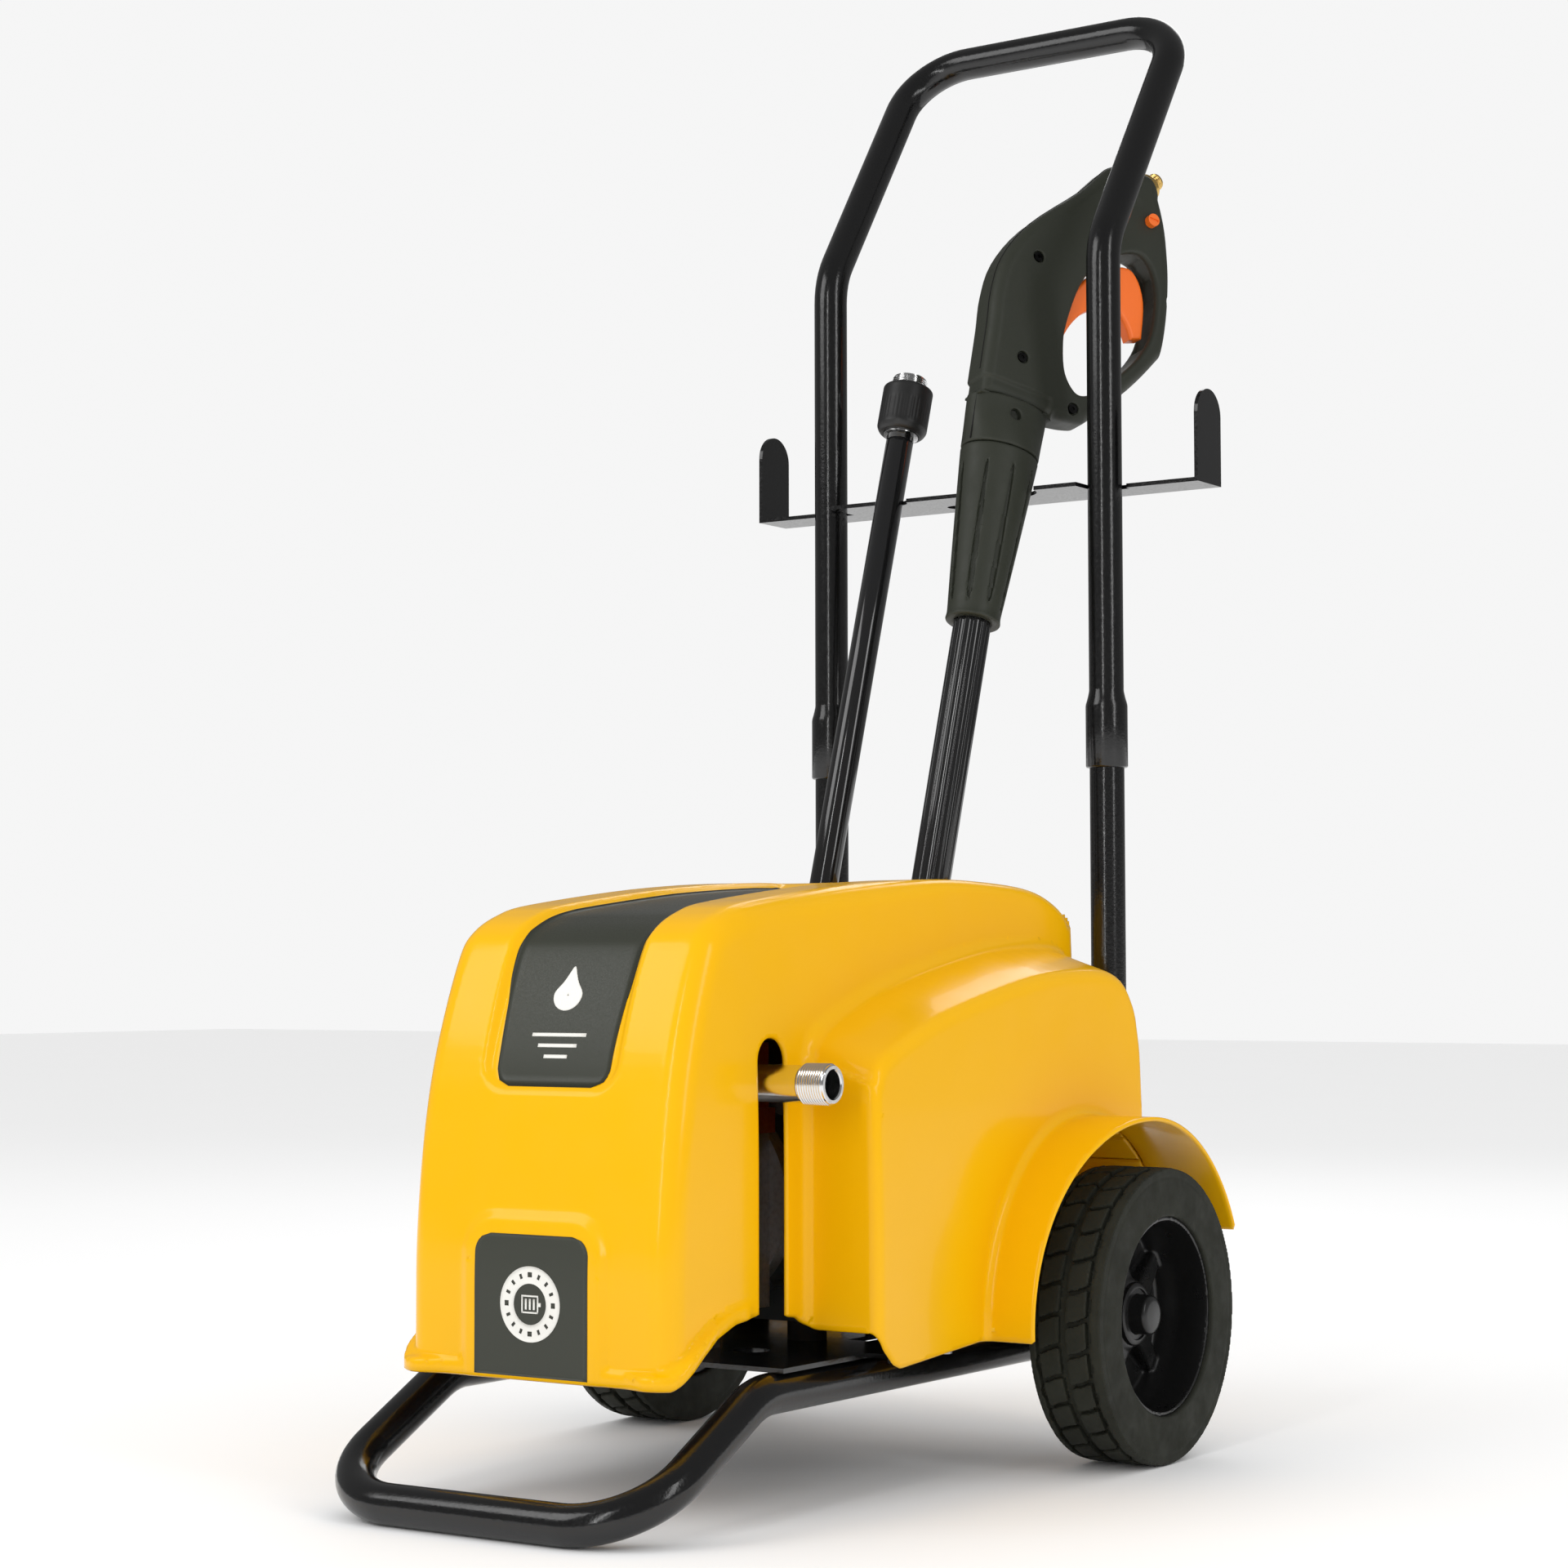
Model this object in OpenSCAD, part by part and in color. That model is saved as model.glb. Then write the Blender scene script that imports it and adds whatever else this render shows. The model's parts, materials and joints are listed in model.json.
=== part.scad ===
// Upright trolley pressure washer: tube frame, moulded cover, motor and pump,
// two wheels, spray gun with lance, spare lance. Millimetres.
// X is the width, -Y the front, +Z up. The ground is z = 0.

/* [Frame] */
// outside diameter of the frame tube
tube_d = 25.4; // [20:0.1:32]
// wall of the frame tube
tube_wall = 1.5; // [1:0.1:3]
// distance of each side rail from the middle
rail_x = 120; // [90:1:140]
// height of the rail centre line
rail_z = 77; // [60:1:100]
// distance of the uprights behind the axle
upright_y = 112; // [100:1:130]
// height of the bend where the handle leans back
knee_z = 872; // [800:1:950]
// height of the handle's top bar
handle_z = 1069; // [950:1:1150]
// distance of the handle's top bar behind the axle
handle_y = 245; // [150:1:300]
// distance of the front bar ahead of the axle
front_y = 467; // [400:1:520]
// height where the sleeve joint between handle and frame starts
joint_z = 482; // [450:1:600]
// length of the sleeve joint
joint_len = 47; // [30:1:80]
// outside diameter of the sleeve joint
joint_d = 30.7; // [28:0.1:36]

/* [Hook bracket] */
// height of the bracket plate
hook_z = 690; // [600:1:760]
// distance of each hook blade from the middle
hook_x = 192.5; // [150:0.5:220]
// height of the hook blades
hook_h = 70; // [40:1:90]
// width of the hook blades
hook_w = 38; // [25:1:50]
// thickness of the bracket's steel
hook_t = 3; // [2:0.5:5]

/* [Wheels] */
// radius of the wheels
wheel_r = 100; // [80:1:130]
// width of the tyres
tyre_w = 54; // [40:1:70]
// distance of the tyres' outer faces from the middle
wheel_x = 223.5; // [200:0.5:250]
// radius where the tyre meets the rim
rim_r = 67; // [55:1:80]
// radius of the axle
axle_r = 8; // [6:0.5:10]
// running gap between the axle and a bush
run_gap = 0.05; // [0.01:0.01:0.1]
// number of spokes
spokes = 5; // [4:1:8]

/* [Cover] */
// thickness of the moulded cover
wall = 3; // [2:0.5:4]
// half width of the nose
nose_x = 104; // [90:1:110]
// half width across the hips
hip_x = 158; // [140:1:165]
// radius of the wheel arches
arch_r = 134; // [120:1:140]
// front edge of the side slots
slot_y0 = -318; // [-330:1:-300]
// rear edge of the side slots
slot_y1 = -286; // [-300:1:-270]
// height where the arched top of a slot starts
slot_z = 277; // [200:1:290]

/* [Motor and pump] */
// height of the motor's axis
motor_z = 185; // [170:1:200]
// radius of the motor's body
motor_r = 68; // [55:1:72]
// radius of the motor's shaft
shaft_r = 7; // [6:0.5:10]
// height of the water connection
pipe_z = 264; // [240:1:280]
// distance of the water connection ahead of the axle
pipe_y = 301; // [280:1:310]
// distance of the water connection's end from the middle
pipe_x = 148; // [120:1:160]

/* [Gun and lance] */
// backward lean of the two lances in degrees
lean = 17.6; // [0:0.1:25]
// sideways offset of the gun's lance
gun_x = 40; // [20:1:60]
// turn of the gun about its lance in degrees
gun_turn = 60; // [0:1:90]
// sideways offset of the spare lance
spare_x = -52; // [-70:1:-30]
// radius of the gun's lance
gun_tube_r = 14; // [10:0.5:16]
// radius of the spare lance
spare_r = 10.5; // [8:0.5:14]
// half thickness of the gun's body
gun_half = 17; // [12:1:20]

/* [Hidden] */

shift_y = 107.455;
tr = tube_d / 2;
seam = 0.05;
wheel_z = wheel_r;
fa = 64;
gun_p = [gun_x, 86, 686];
spare_p = [spare_x, 86, 682];
dark = [0.06, 0.06, 0.065];
steel = [0.72, 0.72, 0.74];
yellow = [0.93, 0.63, 0.02];
plastic = [0.12, 0.12, 0.13];

module place() translate([0, shift_y, 0]) children();
module gun_at() place() translate(gun_p) rotate([-lean, 0, 0]) rotate([0, 0, gun_turn]) children();
module spare_at() place() translate(spare_p) rotate([-lean, 0, 0]) children();

function unit(v) = v / norm(v);
function side(d) = abs(d[2]) < 0.9 ? unit(cross(d, [0, 0, 1])) : unit(cross(d, [1, 0, 0]));

// matrix with the columns a, b, c and the place o
module basis(a, b, c, o)
    multmatrix([[a[0], b[0], c[0], o[0]], [a[1], b[1], c[1], o[1]],
                [a[2], b[2], c[2], o[2]], [0, 0, 0, 1]]) children();

// hollow straight tube between two points
module pipe(p, q, ro, ri) {
    d = unit(q - p);
    s = side(d);
    basis(s, cross(d, s), d, p) linear_extrude(norm(q - p)) difference() {
        circle(ro, $fn = fa);
        if (ri > 0) circle(ri, $fn = fa);
    }
}

// tube that follows the points, with a bend radius at each inner point
module tube_path(pts, rad, ro, ri) {
    n = len(pts);
    turn = [for (i = [0 : n - 1]) i == 0 || i == n - 1 ? 0 :
        180 - acos(unit(pts[i - 1] - pts[i]) * unit(pts[i + 1] - pts[i]))];
    cut = [for (i = [0 : n - 1]) turn[i] == 0 ? 0 : rad[i] * tan(turn[i] / 2)];
    for (i = [0 : n - 2]) {
        d = unit(pts[i + 1] - pts[i]);
        // a hairline is left at each bend, bridged by the sleeves inside
        start = i == 0 ? 0 : cut[i] + seam;
        stop = i == n - 2 ? 0 : cut[i + 1] + seam;
        pipe(pts[i] + d * start, pts[i + 1] - d * stop, ro, ri);
    }
    for (i = [1 : n - 2]) {
        a = unit(pts[i - 1] - pts[i]);
        b = unit(pts[i + 1] - pts[i]);
        // weld sleeves inside the tube at both ends of the bend
        for (e = [a, b]) pipe(pts[i] + e * (cut[i] - 3), pts[i] + e * (cut[i] + 3), ro - 0.5, ri - 0.5);
        c = pts[i] + unit(a + b) * rad[i] / cos(turn[i] / 2);
        u = unit(pts[i] + a * cut[i] - c);
        basis(u, -a, cross(u, -a), c) rotate_extrude(angle = turn[i], $fn = 96)
            translate([rad[i], 0]) difference() {
                circle(ro, $fn = fa);
                circle(ri, $fn = fa);
            }
    }
}

// cylinder along X or Y, from a to b
module along_x(a, b, r, y, z) translate([a, y, z]) rotate([0, 90, 0]) cylinder(b - a, r, r, $fn = fa);
module along_y(a, b, r, x, z) translate([x, a, z]) rotate([-90, 0, 0]) cylinder(b - a, r, r, $fn = fa);

// outline in the YZ plane, extruded to x = +-w
module side_form(pts, w) rotate([90, 0, 90]) translate([0, 0, -w]) linear_extrude(2 * w) polygon(pts);
// outline in the XZ plane, extruded over the whole length
module front_form(pts) rotate([90, 0, 0]) translate([0, 0, -200]) linear_extrude(700) polygon(pts);
module plan_form(pts) translate([0, 0, 20]) linear_extrude(500) polygon(pts);

// moves each edge of a counter-clockwise outline inward by d
function edge_n(a, b) = let (e = unit(b - a)) [-e[1], e[0]];
function inset(p, d) = let (n = len(p)) [for (i = [0 : n - 1])
    let (m = edge_n(p[(i + n - 1) % n], p[i]), k = edge_n(p[i], p[(i + 1) % n]), s = 1 + m * k)
    p[i] + (m + k) * d / s];
function mirror_x(p) = concat(p, [for (i = [len(p) - 1 : -1 : 1]) [-p[i][0], p[i][1]]]);

front_line = [[-413, 60], [-413, 86], [-409, 175], [-406, 206], [-401, 246],
    [-391, 287], [-376, 329], [-367, 350], [-355, 363], [-334, 372], [-304, 379],
    [-251, 385], [-196, 390], [-138, 394], [-98, 396]];
body_line = concat([[97, 60]], [[97, 351], [90, 370], [75, 382], [37, 392], [-25, 396]],
    [for (i = [len(front_line) - 1 : -1 : 0]) front_line[i]]);
body_front = mirror_x([[0, 60], [nose_x, 60], [nose_x, 330], [nose_x - 2, 374],
    [nose_x - 6, 388], [nose_x - 14, 395], [nose_x - 22, 396.5]]);
body_plan = mirror_x([[0, -413], [70, -413], [88, -411.5], [96, -408], [101, -401],
    [nose_x - 0.5, -391], [nose_x, -370], [nose_x, 97]]);
hip_line = [[-266, 60], [97, 60], [97, 250], [92, 295], [83, 312], [65, 329], [42, 333],
    [-22, 329], [-75, 322], [-144, 310], [-203, 297], [-245, 278], [-260, 268], [-266, 254]];
hip_plan = mirror_x([[0, -266], [nose_x, -266], [hip_x - 13, -264], [hip_x - 4, -258],
    [hip_x, -247], [hip_x, 70], [hip_x - 5, 88], [hip_x - 15, 97]]);
hip_front = mirror_x([[0, 60], [hip_x, 60], [hip_x, 300], [hip_x - 3, 318], [hip_x - 12, 326],
    [nose_x, 336]]);
edge_cut = [[-406, 40], [-231, 40], [-231, 86], [-251, 99], [-262, 113], [-284, 118],
    [-315, 124], [-345, 120], [-369, 113], [-384, 104], [-406, 88]];

function rev(p) = [for (i = [len(p) - 1 : -1 : 0]) p[i]];
module cover_form(d) {
    b = d == 0 ? body_line : inset(body_line, d);
    intersection() {
        side_form(b, 110);
        front_form(inset(body_front, d));
        plan_form(inset(body_plan, d));
    }
    intersection() {
        side_form(inset(hip_line, d), 160);
        front_form(inset(hip_front, d));
        plan_form(inset(hip_plan, d));
    }
}

// band that lies on the cover from one profile point to another
module band(p, w, t) {
    q = [for (i = [0 : len(p) - 1])
        let (a = p[max(i - 1, 0)], b = p[min(i + 1, len(p) - 1)], e = unit(b - a)) p[i] + [-e[1], e[0]] * t];
    side_form(concat(p, rev(q)), w);
}

module lower_frame() color(dark) place()
    tube_path([[-rail_x, upright_y, joint_z + joint_len - 12], [-rail_x, upright_y, rail_z],
        [-rail_x, -345, rail_z], [-rail_x, -front_y, tr], [rail_x, -front_y, tr],
        [rail_x, -345, rail_z], [rail_x, upright_y, rail_z],
        [rail_x, upright_y, joint_z + joint_len - 12]],
        [0, 90, 60, 55, 55, 60, 90, 0], tr, tr - tube_wall);

module handle_frame() color(dark) place() difference() {
    union() {
        tube_path([[-rail_x, upright_y, joint_z + joint_len - 11.8], [-rail_x, upright_y, knee_z],
            [-rail_x, handle_y, handle_z], [rail_x, handle_y, handle_z],
            [rail_x, upright_y, knee_z], [rail_x, upright_y, joint_z + joint_len - 11.8]],
            [0, 60, 48, 48, 60, 0], tr, tr - tube_wall);
        for (s = [-1, 1]) translate([s * rail_x, upright_y, joint_z]) difference() {
            union() {
                cylinder(joint_len, joint_d / 2, joint_d / 2, $fn = fa);
                translate([0, 0, joint_len]) cylinder(9, joint_d / 2, tr - 0.3, $fn = fa);
            }
            translate([0, 0, -1]) cylinder(joint_len - 10.5, tr + 0.05, tr + 0.05, $fn = fa);
            translate([0, 0, joint_len - 20]) cylinder(40, tr - 0.6, tr - 0.6, $fn = fa);
        }
    }
    for (s = [-1, 1]) along_y(upright_y - 2, upright_y + 20, 2.5, s * rail_x, joint_z + 14);
}

// domed screws that lock the handle into the frame, from behind
module handle_screws() color(steel) place() for (s = [-1, 1]) difference() {
    translate([s * rail_x, upright_y + joint_d / 2 - 0.4, joint_z + 14]) rotate([-90, 0, 0])
        union() {
            cylinder(3.4, 5, 3.6, $fn = fa);
            translate([0, 0, -2]) cylinder(2.2, 2.4, 2.4, $fn = fa);
        }
    translate([s * rail_x, upright_y + joint_d / 2 + 1.4, joint_z + 14]) rotate([-90, 0, 0])
        cylinder(3, 2, 2, $fn = 6);
    translate([s * rail_x, upright_y, joint_z]) cylinder(30, joint_d / 2, joint_d / 2, $fn = fa);
}

module hook_bracket() color(dark) place() {
    yb = 157;
    translate([0, 0, hook_z - hook_t / 2]) linear_extrude(hook_t) difference() {
        polygon([[-hook_x, yb - hook_w], [-134, yb - hook_w], [-134, upright_y + tr], [-107, upright_y + tr],
            [-107, 91], [107, 91], [107, upright_y + tr], [134, upright_y + tr],
            [134, yb - hook_w], [hook_x, yb - hook_w], [hook_x, yb], [-hook_x, yb]]);
        translate([gun_x, 87.5]) circle(31.8, $fn = fa);
        translate([spare_x, 88.5]) circle(13.5, $fn = fa);
        translate([-18, 135]) circle(9, $fn = fa);
        translate([-84, 135]) circle(9, $fn = fa);
    }
    x = hook_x - hook_t / 2;
    for (s = [-1, 1]) translate([s * x - hook_t / 2, yb - hook_w / 2, hook_z - hook_t / 2])
        rotate([90, 0, 90]) linear_extrude(hook_t) {
            translate([-hook_w / 2, 0]) square([hook_w, hook_h - hook_w / 2]);
            translate([0, hook_h - hook_w / 2]) circle(hook_w / 2, $fn = fa);
        }
}

// flat plate welded on the rails, with ears for the cover
module base_plate() color(dark) place() translate([0, 0, rail_z + tr]) linear_extrude(3) difference() {
    union() {
        translate([-130, -330]) square([260, 305]);
        for (s = [-1, 1], y = [-225, -165]) translate([s * 139 - 12, y - 9]) square([24, 18]);
    }
    for (s = [-1, 1], y = [-225, -165]) translate([s * 145, y]) circle(2.6, $fn = fa);
    for (s = [-1, 1], y = [-190, -95]) translate([s * 55, y]) circle(4, $fn = fa);
    for (x = [-60, 0, 60]) translate([x, -262]) circle(12, $fn = fa);
    for (x = [-1, 1]) translate([x * 88 - 8, -180]) square([16, 70]);
}

module axle() color(steel) place() along_x(-195.5, 195.5, axle_r, 0, wheel_z);

module axle_brackets() color(dark) place() for (s = [-1, 1]) difference() {
    translate([s * rail_x - 7, -18, rail_z + 5]) cube([14, 36, wheel_z - rail_z + 8]);
    along_y(-30, 30, tr, s * rail_x, rail_z);
    along_x(s * rail_x - 20, s * rail_x + 20, axle_r, 0, wheel_z);
}

module axle_spacers() color(plastic) place() for (s = [-1, 1])
    pipe([s * (rail_x + 7), 0, wheel_z], [s * 168.9, 0, wheel_z], 12, axle_r);

module axle_clips() color(steel) place() for (s = [-1, 1])
    pipe([s * 190.5, 0, wheel_z], [s * 193, 0, wheel_z], 14, axle_r);

module fender(s) intersection() {
    along_x(s > 0 ? hip_x - wall : -215, s > 0 ? 215 : -hip_x + wall, arch_r, 0, wheel_z);
    translate([0, 0, 30]) linear_extrude(300)
        polygon([for (p = [[hip_x - wall, -140], [192, -140], [211, 0], [214, 140], [hip_x - wall, 140]])
            [s * p[0], p[1]]]);
    side_form([[0, 100], [180, 158], [180, 300], [-180, 300], [-180, 111]], 230);
}

// cup that closes a wheel arch off from the inside of the cover
module arch_liner(s) intersection() {
    difference() {
        along_x(s > 0 ? nose_x - wall : -hip_x + 1, s > 0 ? hip_x - 1 : wall - nose_x, arch_r, 0, wheel_z);
        along_x(s > 0 ? nose_x : -hip_x, s > 0 ? hip_x : -nose_x, arch_r - wall, 0, wheel_z);
    }
    side_form([[97, 114], [97, 300], [-140, 300], [-140, 114]], 200);
}

module cover() color(yellow) place() difference() {
    union() {
        difference() {
            union() {
                difference() {
                    cover_form(0);
                    cover_form(wall);
                    translate([-300, -500, -14]) cube([600, 700, 100]);
                    side_form(edge_cut, 200);
                }
                for (s = [-1, 1]) fender(s);
            }
            for (s = [-1, 1])
                along_x(s > 0 ? nose_x : -230, s > 0 ? 230 : -nose_x, arch_r - wall, 0, wheel_z);
        }
        for (s = [-1, 1]) arch_liner(s);
        // bosses for the screws
        for (s = [-1, 1], y = [-225, -165]) translate([s * 146.5 - 6.5, y - 8, rail_z + tr + 3])
            cube([13, 16, 18]);
    }
    for (s = [-1, 1], y = [-225, -165]) translate([s * 145, y, 86]) cylinder(22, 2.5, 2.5, $fn = fa);
    // slots for the water connections, one in each side
    for (s = [-1, 1]) {
        translate([s * 110 - 20, slot_y0, 60]) cube([40, slot_y1 - slot_y0, slot_z - 60]);
        along_x(s * 110 - 20, s * 110 + 20, (slot_y1 - slot_y0) / 2, (slot_y0 + slot_y1) / 2, slot_z);
    }
    // open back below the rear wall
    translate([-110, 60, 50]) cube([220, 60, 90]);
    for (s = [-1, 1]) translate([s * 125 - 25, 60, 50]) cube([50, 60, 120]);
    // cooling slots and the holes in the rear wall
    for (x = [-42 : 14 : 42]) translate([x - 2.5, 80, 160]) cube([5, 30, 60]);
    translate([32, 80, 268]) cube([46, 30, 30]);
    along_y(80, 110, 8, -60, 190);
    // holes for the lance holder
    translate(gun_p) rotate([-lean, 0, 0]) translate([0, 0, -380]) cylinder(110, 19, 19, $fn = fa);
    translate(spare_p) rotate([-lean, 0, 0]) translate([0, 0, -380]) cylinder(110, 19, 19, $fn = fa);
}

module cover_screws() color(steel) place() for (s = [-1, 1], y = [-225, -165]) {
    translate([s * 145, y, rail_z + tr]) cylinder(18, 2.5, 2.5, $fn = fa);
    translate([s * 145, y, rail_z + tr - 3.2]) difference() {
        cylinder(3.2, 5, 5, $fn = fa);
        translate([0, 0, -1]) cylinder(2.6, 2, 2, $fn = 6);
    }
}

module upper_decal() color([0.22, 0.22, 0.22]) place()
    band([[-396.5, 265], [-391, 287], [-376, 329], [-367, 350], [-355, 363], [-334, 372], [-304, 379],
        [-251, 385], [-196, 390], [-138, 394], [-98, 396]], 46, 0.8);

module lower_decal() color([0.22, 0.22, 0.22]) place()
    band([[-412.955, 87], [-409.09, 173]], 43.5, 0.8);

module round_badge() color([0.8, 0.8, 0.78]) place() translate([0, -410.955, 131.5])
    rotate([90 - atan(4 / 89), 0, 0]) translate([0, 0, 0.8]) difference() {
        cylinder(0.9, 23, 23, $fn = fa);
        translate([0, 0, -1]) cylinder(3, 12.5, 12.5, $fn = fa);
    }

module motor_housing() color([0.25, 0.26, 0.28]) place() {
    difference() {
        union() {
            along_y(-225, -60, motor_r, 0, motor_z);
            for (i = [0 : 23]) translate([0, 0, motor_z]) rotate([0, 15 * i + 7.5, 0])
                translate([-1.5, -215, 0]) cube([3, 145, motor_r + 5]);
            for (y = [-200, -105]) translate([-72, y, rail_z + tr + 15]) cube([144, 20, 22]);
        }
        along_y(-226, -59, motor_r - 4, 0, motor_z);
        for (s = [-1, 1], y = [-190, -95]) translate([s * 55, y, 90]) cylinder(24, 4, 4, $fn = fa);
    }
}

module bell(y0, y1) difference() {
    along_y(y0, y1, motor_r + 2, 0, motor_z);
    along_y(y0 - 1, y1 + 1, shaft_r + run_gap, 0, motor_z);
}
module motor_front_bell() color(steel) place() bell(-237, -225);
module motor_rear_bell() color(steel) place() bell(-60, -50);

module fan_cover() color(plastic) place() difference() {
    along_y(-50, 10, motor_r + 3, 0, motor_z);
    along_y(-51, 7, motor_r, 0, motor_z);
    for (a = [0 : 30 : 330]) translate([0, 0, motor_z]) rotate([0, a, 0])
        translate([-4, 0, 26]) cube([8, 20, 34]);
}

module terminal_box() color(plastic) place() difference() {
    translate([-35, -185, motor_z + motor_r - 3]) cube([70, 70, 38]);
    translate([0, -240, motor_z]) rotate([-90, 0, 0]) cylinder(200, motor_r + 5.02, motor_r + 5.02, $fn = fa);
    translate([-31, -181, motor_z + motor_r + 9]) cube([62, 62, 23]);
}

module capacitor() color([0.85, 0.85, 0.86]) place() along_y(-215, -115, 17, 54.7, motor_z + 71.7);

module rubber_mounts() color(dark) place() for (s = [-1, 1], y = [-190, -95])
    pipe([s * 55, y, rail_z + tr + 3], [s * 55, y, rail_z + tr + 15], 13, 4);

module mount_bolts() color(steel) place() for (s = [-1, 1], y = [-190, -95]) {
    translate([s * 55, y, rail_z + tr]) cylinder(20, 4, 4, $fn = fa);
    translate([s * 55, y, rail_z + tr - 5]) cylinder(5, 7.5, 7.5, $fn = 6);
}

module pump_crankcase() color([0.62, 0.63, 0.65]) place() difference() {
    union() {
        translate([-57, -330, 118]) cube([114, 93, 112]);
        for (i = [0 : 4]) translate([-60, -322 + i * 16, 124]) cube([120, 4, 100]);
        along_y(-336, -330, 34, 0, motor_z);
        translate([-34, -300, rail_z + tr + 3]) cube([68, 40, 30]);
    }
    along_y(-326, -236, 30, 0, motor_z);
}

module pump_head() color([0.75, 0.3, 0.12]) place() {
    difference() {
        union() {
            translate([-63, -327, 230]) cube([126, 88, 16]);
            translate([-60, -324, 246]) cube([120, 82, 42]);
        }
        along_x(20, 61, 9, -pipe_y, pipe_z);
        along_x(-61, -20, 5, -pipe_y, pipe_z);
    }
}

// hexagon plugs on the front and on top of the head
module valve_caps() color([0.72, 0.55, 0.3]) place() for (x = [-30, 0, 30]) {
    translate([x, -324, 266]) rotate([90, 0, 0]) cylinder(9, 11, 11, $fn = 6);
    translate([x, -290, 288]) cylinder(9, 11, 11, $fn = 6);
}

module inlet_pipe() color([0.82, 0.82, 0.84]) place() {
    pipe([60, -pipe_y, pipe_z], [pipe_x, -pipe_y, pipe_z], 11.75, 9);
    pipe([60, -pipe_y, pipe_z], [70, -pipe_y, pipe_z], 15, 9);
    pipe([pipe_x - 20, -pipe_y, pipe_z], [pipe_x, -pipe_y, pipe_z], 13.2, 9);
}

module outlet_fitting() color([0.72, 0.55, 0.3]) place() {
    pipe([-124, -pipe_y, pipe_z], [-60, -pipe_y, pipe_z], 9.5, 5);
    pipe([-74, -pipe_y, pipe_z], [-60, -pipe_y, pipe_z], 14, 5);
    pipe([-124, -pipe_y, pipe_z], [-106, -pipe_y, pipe_z], 11, 5);
}

module lance_holder() color(plastic) place() difference() {
    union() {
        intersection() {
            union() {
                translate(gun_p) rotate([-lean, 0, 0]) translate([0, 0, -402])
                    cylinder(130, 19, 19, $fn = fa);
                translate(spare_p) rotate([-lean, 0, 0]) translate([0, 0, -398])
                    cylinder(130, 19, 19, $fn = fa);
            }
            translate([-100, -120, 280]) cube([200, 200, 114]);
        }
        translate([spare_x - 28, -34, 384]) cube([gun_x - spare_x + 56, 60, 3]);
    }
    translate(gun_p) rotate([-lean, 0, 0]) translate([0, 0, -396]) cylinder(160, 15.5, 15.5, $fn = fa);
    translate(spare_p) rotate([-lean, 0, 0]) translate([0, 0, -392]) cylinder(160, 15.5, 15.5, $fn = fa);
}

module switch_housing() color(plastic) place() difference() {
    union() {
        translate([32, 88, 268]) cube([46, 9, 30]);
        translate([28, 97, 264]) cube([54, 2.2, 38]);
    }
    translate([37, 84, 271.5]) cube([36, 20, 23]);
    along_x(35.8, 74.2, 1.5 + run_gap, 96, 283);
}

module cord_gland() color(plastic) place() difference() {
    union() {
        along_y(88, 97, 8, -60, 190);
        along_y(97, 101, 12, -60, 190);
        along_y(101, 122, 9, -60, 190);
    }
    along_y(80, 130, 4.5, -60, 190);
}

// one wheel's pieces; s is the side
module tyre(s) translate([s * (wheel_x - tyre_w / 2), 0, wheel_z]) rotate([0, 90, 0])
    rotate_extrude($fn = 96) polygon([[rim_r, -25], [70, -26.5], [84, -27], [96, -27], [wheel_r - 1, -26],
        [wheel_r, -24.5], [wheel_r, 24.5], [wheel_r - 1, 26], [96, 27], [84, 27], [70, 26.5], [rim_r, 25]]);

module rim(s) translate([0, 0, wheel_z]) rotate([0, s * 90, 0]) {
    rotate_extrude($fn = 96) polygon([[rim_r - 6, 173], [rim_r, 173], [rim_r, 221], [rim_r - 2.5, 221],
        [rim_r - 3, 200], [rim_r - 6, 184]]);
    difference() {
        union() {
            translate([0, 0, 176]) cylinder(6, rim_r - 5, rim_r - 5, $fn = 96);
            translate([0, 0, 169.4]) cylinder(26.6, 24, 24, $fn = fa);
            for (i = [0 : spokes - 1]) rotate(360 / spokes * i + 18) translate([0, 0, 180])
                linear_extrude(13) polygon([[16, -8], [rim_r - 5, -5], [rim_r - 5, 5], [16, 8]]);
        }
        translate([0, 0, 160]) cylinder(50, 12, 12, $fn = fa);
        translate([0, 0, 190]) cylinder(10, 18, 18, $fn = fa);
    }
}

module bush(s) place() pipe([s * 169.4, 0, wheel_z], [s * 190, 0, wheel_z], 12, axle_r + run_gap);

module cap(s) translate([0, 0, wheel_z]) rotate([0, s * 90, 0]) translate([0, 0, 196]) difference() {
    rotate_extrude($fn = fa) polygon([[0, 0], [21.5, 0], [21.5, 2.5], [20, 4], [14.5, 4], [13.5, 5],
        [13.5, 14], [12, 15.5], [0, 16]]);
    translate([0, 0, -1]) cylinder(3.5, 16, 16, $fn = fa);
}

module left_tyre() color(dark) place() tyre(-1);
module left_rim() color(dark) place() rim(-1);
module left_bush() color(plastic) bush(-1);
module left_cap() color(dark) place() cap(-1);
module right_tyre() color(dark) place() tyre(1);
module right_rim() color(dark) place() rim(1);
module right_bush() color(plastic) bush(1);
module right_cap() color(dark) place() cap(1);

module motor_shaft() color(steel) place() along_y(-320, 0, shaft_r, 0, motor_z);
module motor_rotor() color(steel) place() pipe([0, -205, motor_z], [0, -80, motor_z], 38, shaft_r);
module motor_fan() color(plastic) place() difference() {
    union() {
        along_y(-44, -10, 14, 0, motor_z);
        along_y(-44, -41, 58, 0, motor_z);
        for (i = [0 : 7]) translate([0, 0, motor_z]) rotate([0, 45 * i, 0])
            translate([-1.5, -42, 10]) cube([3, 28, 48]);
    }
    along_y(-50, 0, shaft_r, 0, motor_z);
}

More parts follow.
